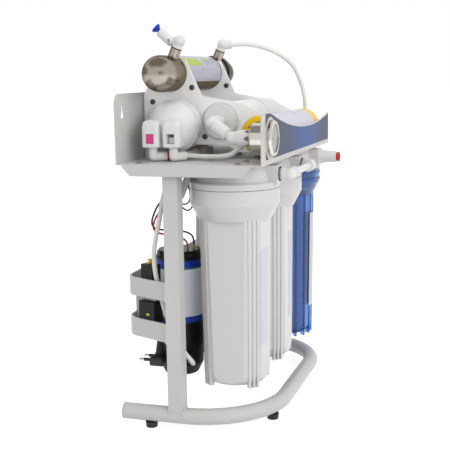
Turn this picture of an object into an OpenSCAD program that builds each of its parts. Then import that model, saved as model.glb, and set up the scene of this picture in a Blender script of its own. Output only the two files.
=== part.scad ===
// Free-standing reverse osmosis water unit.
// X runs along the row of filter housings, -Y is the front, +Z is up.
// The housing row is drawn on y = 0 and moved so that the part's origin is
// the middle of its footprint, on the floor.

/* [Stand] */
// Outside diameter of the bent base tube
tube_d = 22; // [18:0.5:26]
// Wall of the base tube
tube_wall = 1.5; // [1:0.1:3]
// Distance between the centre lines of the two base legs
base_w = 380; // [360:1:395]
// Centre-line radius of the base bends
bend_r = 110; // [80:1:118]
// From the housing row forward to the front run of the base
front_run = 54; // [48:0.5:58]
// From the housing row back to the ends of the legs
leg_back = 141; // [125:1:150]
// Height of the rubber feet under the tube
foot_h = 8; // [5:0.5:12]
// Diameter of the rubber feet
foot_d = 17; // [14:0.5:20]
// From the housing row back to the rear feet
rear_foot_back = 104; // [90:1:115]
// Angle of the front feet round the bends, from the front run
front_foot_angle = 21; // [10:1:40]
// Side of the square posts
post_w = 20; // [16:0.5:24]
// Wall of the square posts
post_wall = 1.5; // [1:0.1:3]
// From the housing row back to the posts
post_back = 66; // [62:0.5:75]
// Depth of the turned-down rail flange
rail_h = 14; // [10:0.5:20]
// Sheet thickness of the rails
rail_t = 2; // [1.5:0.1:3]
// Length of each rail
rail_l = 172; // [150:1:185]
// Width of the flat of each rail
rail_w = 19; // [17:0.5:24]
// Chamfer on the lower corners of the rail flange
rail_chamfer = 11; // [6:0.5:12]

/* [Rear straps] */
// Height of the flat strap bar
strap_h = 25; // [18:1:30]
// Thickness of the strap bar
strap_t = 3; // [2:0.2:4]
// From the housing row back to the outer face of the straps
strap_back = 146.5; // [143:0.5:152]
// Outer radius of the strap corners
strap_corner_r = 30; // [22:1:36]
// How far the strap corners draw in from the posts
strap_inset = 45; // [38:1:52]
// Height of the middle of the upper strap
upper_strap_z = 188; // [180:1:200]
// Height of the middle of the lower strap
lower_strap_z = 132; // [128:1:138]

/* [Tray] */
// Length of the tray
tray_l = 418; // [410:1:440]
// Sheet thickness of the tray
tray_t = 1.5; // [1:0.1:2.5]
// Height of the underside of the tray
tray_z = 355.5; // [350:0.5:365]
// From the housing row forward to the outer face of the front panel
front_face = 59; // [58:0.5:62]
// From the housing row back to the outer face of the back plate
back_face = 136; // [134:0.5:142]
// Height of the back plate
back_h = 91; // [84:1:100]
// Corner radius of the back plate
back_corner_r = 14; // [6:1:24]
// Height of the gauge ear of the front panel
ear_h = 66; // [62:1:72]
// Corner radius of the gauge ear
ear_corner_r = 16; // [8:1:20]
// Height of the front panel at the lowest point of its scoop
scoop_h = 38; // [30:1:44]
// Radius of the scoop
scoop_r = 920; // [800:10:1100]
// Lowest point of the scoop along the tray
scoop_x = 60; // [50:1:70]
// Distance between the two wall keyholes
keyhole_pitch = 370; // [340:1:376]
// Height of the keyhole heads above the tray underside
keyhole_up = 63; // [50:1:68]
// Diameter of the keyhole heads
keyhole_d = 10; // [8:0.5:12]
// Width of the keyhole slots
keyhole_slot = 5; // [4:0.5:6]
// Length of the keyhole slots above the head centre
keyhole_rise = 12; // [9:0.5:15]
// Shank diameter of the tray screws
screw_d = 5; // [4:0.5:5.5]

/* [Filter housings] */
// Distance between neighbouring housings
housing_pitch = 130; // [126:1:134]
// Height of the housing caps
cap_h = 34; // [32:0.5:38]
// Radius of the cap flange and sump collar
collar_r = 60; // [58:0.5:62]
// Height of the sump collar
collar_h = 20; // [16:1:24]
// Height of the tapered shoulder under the collar
shoulder_h = 21; // [16:1:28]
// Length of a sump below the cap
sump_l = 265.5; // [255:0.5:272]
// Radius of the sump body at the shoulder
body_top_r = 49; // [47:0.5:51]
// Radius of the sump body at its foot
body_foot_r = 45.5; // [44:0.5:47]
// Distance of the flat panels from the sump axis at the top
panel_top_d = 42; // [41:0.5:44]
// Distance of the flat panels from the sump axis at the foot
panel_foot_d = 40.5; // [40.5:0.5:42]
// Inner radius of the sump
sump_bore_r = 36.5; // [35:0.5:37.5]
// Radius of the threaded sleeve of the caps
sleeve_r = 52.5; // [51:0.5:53]
// Depth of the threaded sleeve
sleeve_h = 20; // [16:1:22]
// Width of the vertical ribs
rib_w = 3; // [2:0.5:4]
// How far the ribs stand out
rib_out = 1.2; // [0.8:0.1:2]
// Ribs round the clear sump
clear_ribs = 18; // [12:1:24]
// Radius of the filter cartridges
filter_r = 31.5; // [29:0.5:33]
// Bore radius of the filter cartridges
filter_bore_r = 14; // [13.5:0.5:15]
// Cord diameter of the head O-rings
o_ring_d = 3.5; // [3:0.1:4]

/* [Ports and tubes] */
// From the housing axis to the face of the port bosses
port_reach = 62; // [60.5:0.5:66]
// Width of the port bosses
boss_w = 34; // [28:1:38]
// Height of the port bosses
boss_h = 24; // [22:1:26]
// Outside diameter of the large water tube
tube_38_d = 9.5; // [9:0.1:10]
// Outside diameter of the small water tube
tube_14_d = 6.4; // [6:0.1:7]
// Radius of the port thread
thread_r = 6.5; // [6:0.1:7]
// How far the elbows stand out from a port
elbow_reach = 13; // [12:0.5:15]
// Length of the elbow collars
elbow_arm = 22; // [18:0.5:26]
// Length of the inlet fitting
inlet_l = 26; // [22:1:32]
// Travel of the release collet
collet_travel = 1.8; // [1:0.1:2.2]
// Thickness of the collet flange
collet_t = 2.5; // [2:0.1:3.5]

/* [Membrane] */
// From the housing row back to the membrane axis
membrane_y = 82; // [80:0.5:84]
// Height of the membrane axis above the tray floor
membrane_up = 45; // [43:0.5:46]
// Radius of the membrane housing
membrane_r = 30; // [28:0.5:31]
// Near end of the membrane housing
membrane_x0 = -131; // [-133:1:-128]
// Length of the membrane housing
membrane_l = 246; // [230:1:260]
// Radius of the membrane cap rim
membrane_rim_r = 35.5; // [34:0.5:37]
// Length of the membrane cap rim
membrane_rim_l = 14; // [10:1:16]
// Depth of the cap dome
dome_l = 32; // [28:1:36]
// Radius of the two port columns
column_r = 11.5; // [10.5:0.5:12]
// Distance between the two port columns
column_pitch = 28.5; // [27:0.5:31]

/* [Ultraviolet chamber] */
// From the housing row back to the chamber axis
uv_y = 93; // [90:0.5:96]
// Height of the chamber axis above the tray floor
uv_up = 114; // [112:0.5:118]
// Radius of the chamber
uv_r = 24; // [22:0.5:25]
// Wall of the chamber
uv_wall = 1.2; // [0.8:0.1:2]
// Near dome centre of the chamber
uv_x0 = -153; // [-156:1:-150]
// Far open end of the chamber
uv_x1 = 85; // [80:1:90]
// Place of the near stub along the chamber
stub_x0 = -128; // [-132:1:-126]
// Place of the far stub along the chamber
stub_x1 = 64; // [56:1:66]
// Radius of the stubs
stub_r = 7.2; // [6.8:0.1:7.5]
// Lean of the stubs towards the front
stub_lean = 24; // [15:1:30]
// Reach of the stubs from the chamber axis
stub_reach = 36; // [34:0.5:38]
// Radius of the quartz sleeve
quartz_r = 11; // [10:0.5:12]
// Radius of the lamp
lamp_r = 7.5; // [7:0.5:8.5]
// Length of the rubber boot past the chamber
boot_l = 38; // [30:1:42]
// Wall of the rubber boot
boot_wall = 2; // [1.5:0.1:3]

/* [Cartridges and plates] */
// Radius of the inline and post filters
inline_r = 25; // [24:0.5:25.5]
// From the housing row back to the inline filter axis
inline_y = 22.5; // [21.5:0.5:23.5]
// Height of the inline filter axis above the tray floor
inline_up = 50; // [48:0.5:51]
// From the housing row forward to the post filter axis
post_filter_fwd = 31.5; // [31:0.1:31.8]
// Height of the post filter axis above the tray floor
post_filter_up = 32; // [30:0.5:33]
// Near end of the two filters
inline_x0 = -122; // [-124:1:-120]
// Length of the two filters
inline_l = 272; // [260:1:280]
// Length of the yellow caps
yellow_l = 40; // [32:1:48]
// Near support plate along the tray
near_plate_x = -117; // [-118:0.5:-114]
// Far support plate along the tray
far_plate_x = 39.5; // [36:0.5:44]
// Thickness of the support plates
plate_t = 3; // [2:0.5:4]

/* [Gauge] */
// Gauge centre along the tray
gauge_x = -167; // [-169:0.5:-165]
// Gauge centre above the tray underside
gauge_up = 32.5; // [30:0.5:36]
// Radius of the gauge bezel
bezel_r = 23.2; // [22.5:0.1:25]
// Radius of the gauge case
case_r = 19.5; // [18:0.5:20]
// Depth of the case behind the panel face
case_l = 24; // [20:1:26]
// Depth of the bezel in front of the panel
bezel_l = 6.5; // [6.2:0.1:9]

/* [Pump and electrics] */
// Pump axis along the unit
pump_x = -110; // [-112:1:-106]
// From the housing row back to the pump axis
pump_y = 88; // [86:0.5:90]
// Radius of the pump motor
motor_r = 34; // [32:0.5:34.5]
// Height of the underside of the pump head
pump_z0 = 56; // [50:1:62]
// Height of the pump head
head_h = 48; // [44:1:50]
// Length of the pump motor
motor_l = 127; // [115:1:140]
// Radius of the pump head
head_r = 31; // [29:0.5:31.5]
// Radius of the motor shaft
shaft_r = 4; // [3:0.5:5]
// Thickness of the adapter and ballast boxes
box_t = 16; // [14:0.5:17]
// Diameter of the mains lead
cord_d = 5.5; // [5:0.1:6]
// Loop radius of the coiled mains lead
coil_r = 33; // [31:1:34]
// Loops of the coiled mains lead
coil_loops = 5.5; // [2.5:1:5.5]
// Distance between neighbouring loops
coil_step = 6.2; // [6.2:0.1:6.6]
// Spacing of the plug pins
pin_pitch = 18.6; // [18:0.1:19]

/* [Fits] */
// Gap between pieces that move on each other
fit_gap = 0.3; // [0.2:0.05:0.4]
// Radial clearance of a running shaft
run_gap = 0.05; // [0.03:0.01:0.1]
// Radial clearance of a tube in its socket
tube_gap = 0.1; // [0.05:0.05:0.2]

/* [Hidden] */
$fn = 64;

// Overshoot of a cut past the face that it opens
cut = 1;
white_paint = "whitesmoke";
white_plastic = "white";
black_plastic = "#202022";

// Stand
tube_z = foot_h + tube_d / 2;
leg_x = base_w / 2;
bend_y = bend_r - front_run;
stud_d = 6;
plug_flange = 2;
plug_depth = 14;
post_rear = post_back + post_w / 2;
post_top = tray_z - rail_t;
rail_front = post_back - 110;
foot_spots = [
  for (side = [-1, 1]) [side * leg_x, rear_foot_back],
  for (side = [-1, 1]) [
    side * (leg_x - bend_r + bend_r * sin(front_foot_angle)),
    bend_y - bend_r * cos(front_foot_angle)
  ]
];

// Straps
strap_in = strap_back - strap_t;
strap_corner_x = leg_x - strap_inset;

// Tray
floor_z = tray_z + tray_t;
back_in = back_face - tray_t;
front_in = front_face - tray_t;
cap_screw_x = 28;
cap_screw_y = 24;
crown_foot_r = collar_r - 7;
crown_top_r = collar_r - 12;
screw_head_r = 4.5;
screw_head_h = 3;
screw_grip = 14;
rail_screw_past = 3;
rail_screw_spots = [
  for (side = [-1, 1], y = [rail_front + 20, rail_front + rail_l - 20])
    [side * (tray_l / 2 - 12), y]
];
cap_screw_spots = [
  for (i = [-1, 0, 1], sx = [-1, 1], sy = [-1, 1]) [i * housing_pitch + sx * cap_screw_x, sy * cap_screw_y]
];

// Housings
seam_z = tray_z - cap_h;
seam_gap = 0.4;
flange_h = 10;
roof_t = 6;
sleeve_wall = 4.5;
nipple_r = filter_bore_r - 0.8;
nipple_h = 13;
sump_floor = 6;
sump_collar_bore = sleeve_r + fit_gap + 0.2;
seat_ring_h = 4;
nipple_rise = 8;
o_ring_in_r = sleeve_r - o_ring_d + fit_gap;
chamber_roof = seam_z + flange_h - roof_t;
filter_top = chamber_roof - 8;
filter_foot = seam_z - sump_l + sump_floor + seat_ring_h + fit_gap;
port_z = seam_z + flange_h + boss_h / 2 - 4;
body_top = collar_h + shoulder_h;
panel_l = sump_l - body_top;
rib_tilt = atan((body_top_r - body_foot_r) / panel_l);
panel_tilt = atan((panel_top_d - panel_foot_d) / panel_l);
rib_root = 6;

// Ports
thread_l = 9;
elbow_r = 8.5;
jumper_y = port_reach + elbow_reach;
socket_depth = 14;
inlet_r = 9;
collet_r = 6.4;
collet_flange_r = 7.5;
collet_sleeve_l = 13;
front_reach = port_reach + inlet_l + collet_travel + fit_gap + collet_t;
back_reach = max(strap_back, leg_back + plug_flange);
row_y = (front_reach - back_reach) / 2;

// Membrane
membrane_z = floor_z + membrane_up;
rim_x = membrane_x0 - membrane_rim_l + 6;
membrane_spout = 30;
column_x = rim_x - dome_l + 4;
column_shift = 3.75;
column_ys = [for (side = [1, -1]) membrane_y + column_shift + side * column_pitch / 2];
column_top = membrane_z - 2;
column_foot = floor_z + 19;
column_socket = 16;
elbow_turns = [-60, -35];
column_arm = 18;
column_bore_r = 6;
window_w = 11;
window_h = 12.5;
window_z = column_foot + 5;
elbow_z = floor_z + tube_14_d / 2 + 3.5;

// Ultraviolet chamber
uv_z = floor_z + uv_up;
lean_dir = [0, -sin(stub_lean), cos(stub_lean)];
stub_wall = 2;
uv_spigot = 8;
uv_elbow_r = 8;
uv_elbow_at = stub_reach + 10;
boot_end_r = 19;
boot_grip = 12;
outlet_angle = 48;
outlet_root = [0, 13, 0.5];
outlet_arm = 18.5;
outlet_arm_r = 6.3;
outlet_hole_r = 2.6;
plug_stem_r = 3.2;
plug_stem_out = 6;
plug_head_r = 7;
plug_head_t = 3;
product_arm = 13;

// Filters in the tray
inline_z = floor_z + inline_up;
post_filter_z = floor_z + post_filter_up;
inline_x1 = inline_x0 + inline_l;
nipple_pipe_r = 6;
nipple_pipe_l = 11;
product_rise = 20;
product_socket = 8;

// Plates
plate_hole_gap = 0.3;
plate_spots = [[118.5, 76.5], [61.7, 95], [44.6, 29.5]];
plate_screw_r = 2;
plate_head_r = 3.2;
plate_nut_r = 3.8;
plate_shape = [
  [131, 0], [131, 86], [122, 104], [uv_y, uv_up], [uv_y, uv_up + 18], [70.5, 132], [48.5, 84], [-5.5, 74],
  [-36, 60], [-48, 52], [-post_filter_fwd, post_filter_up], [-20, 9], [0, 9], [14, 20], [116, 20], [118, 0]
];

// Gauge
gauge_z = tray_z + gauge_up;
dial_r = bezel_r - 3.6;
dial_t = 0.6;
pivot_r = 0.85;
glass_t = 1.5;
lip_t = 1;
pointer_gap = 0.6;
hub_h = 1.6;
pivot_h = dial_t + pointer_gap + hub_h + 0.2;
dial_seat = bezel_l - lip_t - glass_t - pivot_h - 0.4;
gauge_stem_l = 8;
gauge_stem_r = 5;
adapter_r = 10.5;
adapter_l = 26;
branch_end = [inline_x0 - 32, inline_y, inline_z];

// Pump
pump_z1 = pump_z0 + head_h;
pump_top = pump_z1 + motor_l;
can_wall = 2.5;
motor_end_t = 12;
rotor_r = motor_r - can_wall - 4;
pump_port_z = pump_z0 + 26;
pump_port_l = 13;
pump_port_angles = [215, 325];
bracket_w = 56;
bracket_t = 2;
bracket_z0 = lower_strap_z + 4;
bracket_z1 = upper_strap_z;

// Electrics: boxes lie along the slanted side of the straps
strap_foot = [-leg_x - post_w / 2, post_rear - 9];
strap_turn = [-strap_corner_x, strap_back - strap_corner_r];
strap_way = strap_turn - strap_foot;
strap_side = atan2(strap_way.y, strap_way.x) + asin(strap_corner_r / norm(strap_way));
adapter_box = [29, box_t, 41];
adapter_box_at = 37;
ballast_box = [21, box_t, 46];
ballast_box_at = 39;
box_edge = 9;
ballast_drop = 14;
valve_body = [32, 24, 12];
valve_disc_r = 10;
valve_disc_t = 2;
valve_port_z = 7;
valve_port_l = 28;
valve_port_r = 5.5;
valve_port_socket = 10;
gland_l = 5;
gland_r = 4.6;
coil_x = -25;
coil_y = strap_in - cord_d / 2 - fit_gap;
coil_z = upper_strap_z - coil_r;
tie_w = 4;
tie_t = 1;
plug_pos = [-159, 101.5, 86];
plug_body = [34, 21, 14];
plug_boot_h = 17;
plug_boot_r = 5;

// Routes of the tubes and of the mains lead, on the row's own axes
far_ball = [stub_x1, uv_y, uv_z] + uv_elbow_at * lean_dir;
product_foot = [inline_x1 + nipple_pipe_l, -post_filter_fwd, post_filter_z + product_rise - product_socket + 1];
product_fall = product_foot - far_ball;
product_turn = atan2(product_fall.y, product_fall.x);
product_shares = [
  [0.045, 0], [0.07, 0], [0.1, 0], [0.2, -0.005], [0.32, -0.002], [0.527, 0.055], [0.725, 0.168],
  [0.857, 0.31], [0.939, 0.513], [0.985, 0.703], [1, 0.853], [1, 0.93], [1, 0.965], [1, 1]
];
product_route = [
  for (t = product_shares) far_ball + [t[0] * product_fall.x, t[0] * product_fall.y, t[1] * product_fall.z]
];
feed_route = [
  [-139, 75, 339.5], [-153, 75, 339.5], [-164, 77, 335], [-172, 82, 322], [-178, 86, 302], [-181, 89, 280],
  [-181, 95, 255], [-181, 98, 233], [-180, 96, 206], [-178, 91, 180], [-176, 84, 150], [-174, 74, 122],
  [-172, 62, 102], [-167, 53, 88], [-157.5, 54.7, 82], [-146, 62.8, 82], [-134.6, 70.8, 82]
];
rise_route = [
  [-85.4, 70.8, 82], [-74, 62.8, 82], [-62.5, 54.7, 83], [-56, 55, 96], [-57, 64, 120], [-60, 72, 150],
  [-62, 76, 200], [-63, 76, 260], [-66, 72, 310], [-70, 66, 335], [-70, 66, 350], [-70, 66, 363]
];
floor_route = [
  [-161.3, 67.5, 363.7], [-152.3, 61.2, 363.7], [-149.6, 58.8, 363.7], [-146.8, 51, 363.2], [-146, 40, 362.5], [-147.5, 24, 362.5],
  [-149.5, 10, 363.2], [-151, -2, 366], [-150.5, -10, 371.5], [-147.5, -19, 379], [-142, -26.5, 385],
  [-135, -31, 388.5], [-129, -31.5, 389], [-124, -31.5, 389]
];
valve_route = [
  [-163.5, 94, 363.7], [-158, 84.4, 363.7], [-152, 75, 363.7], [-143, 67.8, 363.7], [-130, 65.5, 363.9],
  [-113, 66, 364], [-98, 66, 364], [-90, 66, 364]
];
cord_run_route = [
  [-162.8, 122.7, 134], [-160.7, 127.2, 134], [-157, 132.5, 133], [-150, 137.5, 131.5], [-140, 139.9, 130.5],
  [-125, 140.4, 129.5], [-100, 140.4, 127], [-75, 140.4, 124.5], [-50, 140.4, 122.5], [-38, 140.4, 122], [-25, 140.4, 122]
];
cord_drop_route = [
  [-25, 106.4, 188], [-40, 106.6, 188.4], [-58, 110, 190], [-76, 118, 191.3], [-92, 124.5, 191.3],
  [-110, 127, 191.3], [-128, 124.5, 191.5], [-141, 117, 191.5], [-150.5, 109, 184.5], [-156, 104, 172.5],
  [-158.6, 101.8, 156], [-159, 101.5, 138], [-159, 101.5, 122], [-159, 101.5, 110]
];

rise_end = rise_route[len(rise_route) - 1];

function unit(v) = v / norm(v);
function side_of(n, t) = unit(n - (n * t) * t);
function sides_along(ts, n, i = 0) =
  i == len(ts) ? [] :
  let (m = side_of(n, ts[i])) concat([m], sides_along(ts, m, i + 1));
function spline(a, b, c, d, t) =
  0.5 * ((2 * b) + (c - a) * t + (2 * a - 5 * b + 4 * c - d) * t * t + (3 * b - a - 3 * c + d) * t * t * t);
function smooth(p, n) = [
  for (i = [0 : len(p) - 2], k = [0 : n - 1])
    spline(p[max(i - 1, 0)], p[i], p[i + 1], p[min(i + 2, len(p) - 1)], k / n),
  p[len(p) - 1]
];
function tangents(p) = [for (i = [0 : len(p) - 1]) unit(p[min(i + 1, len(p) - 1)] - p[max(i - 1, 0)])];

// Round tube swept along a list of points
module swept_tube(points, radius, sides) {
  ts = tangents(points);
  ns = sides_along(ts, abs(ts[0].z) > 0.9 ? [1, 0, 0] : [0, 0, 1]);
  rings = [
    for (i = [0 : len(points) - 1], k = [0 : sides - 1])
      points[i] + radius * (cos(360 * k / sides) * ns[i] + sin(360 * k / sides) * cross(ts[i], ns[i]))
  ];
  last = (len(points) - 1) * sides;
  walls = [
    for (i = [0 : len(points) - 2], k = [0 : sides - 1])
      let (a = i * sides + k, b = i * sides + (k + 1) % sides)
      each [[a, a + sides, b], [b, a + sides, b + sides]]
  ];
  first_end = [for (k = [1 : sides - 2]) [0, k, k + 1]];
  last_end = [for (k = [1 : sides - 2]) [last, last + k + 1, last + k]];
  polyhedron(rings, concat(walls, first_end, last_end));
}

function coil_point(turns) = [
  coil_x + coil_r * sin(360 * turns),
  coil_y - coil_step * turns,
  coil_z - coil_r * cos(360 * turns)
];
coil_rings = 24;
coil_points = [for (i = [0 : coil_loops * coil_rings]) coil_point(i / coil_rings)];
coil_gap = min([
  for (i = [0 : len(coil_points) - 1], j = [i + coil_rings / 2 : len(coil_points) - 1])
    norm(coil_points[i] - coil_points[j])
]) - cord_d;
echo(coil_least_gap = coil_gap);

// Moves the housing row to its place behind the part's origin
module seat() translate([0, row_y, 0]) children();

module along_x(x0, x1, r) translate([x0, 0, 0]) rotate([0, 90, 0]) cylinder(r = r, h = x1 - x0);
module along_y(y0, y1, r) translate([0, y0, 0]) rotate([-90, 0, 0]) cylinder(r = r, h = y1 - y0);
module mirrored() {
  children();
  mirror([1, 0, 0]) children();
}

// Solid run of the base: two legs, two bends and the front run
module base_run(r, past_end) {
  mirrored() {
    translate([leg_x, 0, tube_z]) along_y(bend_y, leg_back + past_end, r);
    translate([leg_x - bend_r, bend_y, tube_z])
      rotate([0, 0, -90]) rotate_extrude(angle = 90) translate([bend_r, 0]) circle(r = r);
  }
  translate([0, -front_run, tube_z]) along_x(bend_r - leg_x, leg_x - bend_r, r);
}

module base_tube() color(white_paint) seat() difference() {
  base_run(tube_d / 2, 0);
  base_run(tube_d / 2 - tube_wall, cut);
  for (p = foot_spots)
    translate([p.x, p.y, foot_h - cut]) cylinder(d = stud_d + 2 * fit_gap, h = tube_d / 2);
}

module tube_end_plugs() color("gainsboro") seat() mirrored()
  translate([leg_x, 0, tube_z]) {
    along_y(leg_back, leg_back + plug_flange, tube_d / 2);
    along_y(leg_back - plug_depth, leg_back, tube_d / 2 - tube_wall - fit_gap);
  }

module rubber_feet() color(black_plastic) seat() for (p = foot_spots)
  translate([p.x, p.y, 0]) {
    cylinder(d1 = foot_d - 2, d2 = foot_d, h = foot_h - fit_gap);
    cylinder(d = stud_d, h = foot_h + tube_wall + 3);
  }

module posts() color(white_paint) seat() mirrored() difference() {
  translate([leg_x - post_w / 2, post_back - post_w / 2, tube_z]) cube([post_w, post_w, post_top - tube_z]);
  translate([leg_x - post_w / 2 + post_wall, post_back - post_w / 2 + post_wall, tube_z - cut])
    cube([post_w - 2 * post_wall, post_w - 2 * post_wall, post_top - tube_z + 2 * cut]);
  translate([leg_x, 0, tube_z]) along_y(post_back - post_w, post_back + post_w, tube_d / 2 + fit_gap);
}

module rails() color(white_paint) seat() mirrored() difference() {
  union() {
    translate([tray_l / 2 - rail_w, rail_front, tray_z - rail_t]) cube([rail_w, rail_l, rail_t]);
    translate([tray_l / 2 - rail_t, rail_front, tray_z]) rotate([90, 0, 90]) linear_extrude(rail_t)
      polygon([[0, 0], [0, -rail_t], [rail_chamfer, -rail_h], [rail_l - rail_chamfer, -rail_h],
        [rail_l, -rail_t], [rail_l, 0]]);
  }
  for (p = rail_screw_spots)
    translate([p.x, p.y, tray_z - rail_t - cut]) cylinder(d = screw_d + 2 * fit_gap, h = rail_t + 2 * cut);
  translate([leg_x - post_w / 2 - fit_gap, post_back - post_w / 2 - fit_gap, post_top - rail_h])
    cube([post_w + 2 * fit_gap, post_w + 2 * fit_gap, rail_h]);
  translate([housing_pitch, 0, tray_z - rail_h]) cylinder(r = crown_foot_r + fit_gap, h = rail_h + cut);
}

module strap_outline() hull() {
  for (side = [-1, 1])
    translate([side * strap_corner_x, strap_back - strap_corner_r]) circle(r = strap_corner_r, $fn = 48);
  translate([-leg_x - post_w / 2, post_rear - 10]) square([base_w + post_w, 1]);
}

module strap(z) color(white_paint) seat()
  translate([0, 0, z - strap_h / 2]) linear_extrude(strap_h) difference() {
    strap_outline();
    offset(delta = -strap_t) strap_outline();
    translate([-base_w, post_rear - 20]) square([2 * base_w, 20]);
  }

module upper_strap() strap(upper_strap_z);
module lower_strap() strap(lower_strap_z);

module keyhole() {
  circle(d = keyhole_d);
  translate([-keyhole_slot / 2, 0]) square([keyhole_slot, keyhole_rise]);
  translate([0, keyhole_rise]) circle(d = keyhole_slot);
}

module back_outline() difference() {
  union() {
    translate([-tray_l / 2, 0]) square([tray_l, back_h - back_corner_r]);
    translate([back_corner_r - tray_l / 2, 0]) square([tray_l - 2 * back_corner_r, back_h]);
    for (side = [-1, 1])
      translate([side * (tray_l / 2 - back_corner_r), back_h - back_corner_r]) circle(r = back_corner_r);
  }
  for (side = [-1, 1]) translate([side * keyhole_pitch / 2, keyhole_up]) keyhole();
}

module front_outline() difference() {
  translate([-tray_l / 2, 0]) square([tray_l, ear_h]);
  translate([scoop_x, scoop_h + scoop_r]) circle(r = scoop_r, $fn = 360);
  translate([-tray_l / 2, ear_h - ear_corner_r]) difference() {
    translate([-cut, 0]) square([ear_corner_r + cut, ear_corner_r + cut]);
    translate([ear_corner_r, 0]) circle(r = ear_corner_r);
  }
  translate([gauge_x, gauge_up]) circle(r = case_r + fit_gap);
}

module tray() color(white_paint) seat() difference() {
  union() {
    translate([-tray_l / 2, -front_face, tray_z]) cube([tray_l, front_face + back_face, tray_t]);
    translate([0, back_face, tray_z]) rotate([90, 0, 0]) linear_extrude(tray_t) back_outline();
    translate([0, -front_in, tray_z]) rotate([90, 0, 0]) linear_extrude(tray_t) front_outline();
  }
  for (p = concat(cap_screw_spots, rail_screw_spots))
    translate([p.x, p.y, tray_z - cut]) cylinder(d = screw_d + 2 * fit_gap, h = tray_t + 2 * cut);
  translate([rise_end.x, rise_end.y, tray_z - cut])
    cylinder(d = tube_14_d + 4, h = tray_t + 2 * cut);
}

module tray_screws() color("silver") seat() {
  for (p = cap_screw_spots) translate([p.x, p.y, floor_z]) {
    cylinder(r = screw_head_r, h = screw_head_h);
    translate([0, 0, -screw_grip]) cylinder(d = screw_d, h = screw_grip);
  }
  for (p = rail_screw_spots) translate([p.x, p.y, floor_z]) {
    cylinder(r = screw_head_r, h = screw_head_h);
    translate([0, 0, -tray_t - rail_t - rail_screw_past]) cylinder(d = screw_d, h = tray_t + rail_t + rail_screw_past);
  }
}

// Housing cap: flange, crown, port bosses to the front and back, sleeve and nipple
module cap(index) color(white_plastic) seat()
  translate([(index - 2) * housing_pitch, 0, 0]) difference() {
    union() {
      translate([0, 0, seam_z]) cylinder(r = collar_r, h = flange_h - 2);
      translate([0, 0, seam_z + flange_h - 2]) cylinder(r1 = collar_r, r2 = collar_r - 3, h = 2);
      translate([0, 0, seam_z + flange_h]) cylinder(r1 = crown_foot_r, r2 = crown_top_r, h = cap_h - flange_h);
      for (side = [-1, 1])
        translate([-boss_w / 2, side < 0 ? -port_reach : 0, port_z - boss_h / 2])
          cube([boss_w, port_reach, boss_h]);
      translate([0, 0, seam_z - sleeve_h]) cylinder(r = sleeve_r, h = sleeve_h);
    }
    translate([0, 0, seam_z - sleeve_h - cut]) difference() {
      cylinder(r = sleeve_r - sleeve_wall, h = sleeve_h + cut + chamber_roof - seam_z);
      translate([0, 0, sleeve_h + cut + chamber_roof - seam_z - 8 - nipple_h])
        cylinder(r = nipple_r, h = nipple_h + 8 + cut);
    }
    translate([0, 0, chamber_roof - 8 - nipple_h - cut])
      cylinder(r = nipple_r - 4, h = port_z - chamber_roof + 8 + nipple_h + cut);
    translate([0, 0, port_z]) {
      along_y(-port_reach - cut, 0, thread_r + tube_gap);
      along_y(28, port_reach + cut, thread_r + tube_gap);
    }
    translate([0, 34, chamber_roof - cut]) cylinder(r = 5, h = port_z - chamber_roof + cut);
    translate([0, 0, seam_z - sleeve_h + 4]) rotate_extrude()
      translate([o_ring_in_r - 0.1, 0]) square([o_ring_d, o_ring_d + 2 * fit_gap]);
    for (sx = [-1, 1], sy = [-1, 1])
      translate([sx * cap_screw_x, sy * cap_screw_y, tray_z - screw_grip])
        cylinder(d = screw_d + 0.2, h = screw_grip + cut);
  }

module cap_1() cap(1);
module cap_2() cap(2);
module cap_3() cap(3);

module head_o_rings() color(black_plastic) seat() for (i = [-1 : 1])
  translate([i * housing_pitch, 0, seam_z - sleeve_h + 4 + fit_gap + o_ring_d / 2])
    rotate_extrude() translate([o_ring_in_r + o_ring_d / 2, 0]) circle(d = o_ring_d, $fn = 24);

// Hollow sump without its ribs, seam at height 0
module sump_shell() {
  rotate_extrude() polygon([
    [0, 3 - sump_l], [body_foot_r - 8, 3 - sump_l], [body_foot_r - 2, 9 - sump_l],
    [body_foot_r, 16 - sump_l], [body_top_r, -body_top], [collar_r, -collar_h],
    [collar_r, -seam_gap], [sump_collar_bore, -seam_gap], [sump_collar_bore, -sleeve_h - 2],
    [sump_bore_r, -body_top], [sump_bore_r, sump_floor - sump_l], [0, sump_floor - sump_l]
  ]);
  translate([0, 0, sump_floor - sump_l - cut]) {
    difference() {
      cylinder(r = filter_bore_r + 8, h = seat_ring_h + cut);
      translate([0, 0, -cut]) cylinder(r = filter_bore_r + 4, h = seat_ring_h + 3 * cut);
    }
    cylinder(r = nipple_r, h = seat_ring_h + nipple_rise + cut);
  }
}

// One vertical rib that follows the taper of the body
module sump_rib() translate([body_top_r, 0, -body_top + 4]) rotate([0, rib_tilt, 0])
  translate([-rib_root, -rib_w / 2, -panel_l - 4]) cube([rib_root + rib_out, rib_w, panel_l + 4]);

module paneled_sump() {
  difference() {
    sump_shell();
    for (a = [0 : 90 : 270]) rotate(a) translate([panel_top_d, 0, -body_top]) rotate([0, panel_tilt, 0])
      translate([0, -body_top_r, -2 * panel_l]) cube([body_top_r, 2 * body_top_r, 2 * panel_l]);
  }
  for (a = [45 : 90 : 315], k = [-7.5, 0, 7.5]) rotate(a + k) sump_rib();
}

module ribbed_sump() {
  sump_shell();
  for (k = [0 : clear_ribs - 1]) rotate(360 * k / clear_ribs) sump_rib();
}

module sump_1() color("white") seat() translate([-housing_pitch, 0, seam_z]) paneled_sump();
module sump_2() color("white") seat() translate([0, 0, seam_z]) paneled_sump();
module sump_3() color("royalblue") seat() translate([housing_pitch, 0, seam_z]) ribbed_sump();

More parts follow.
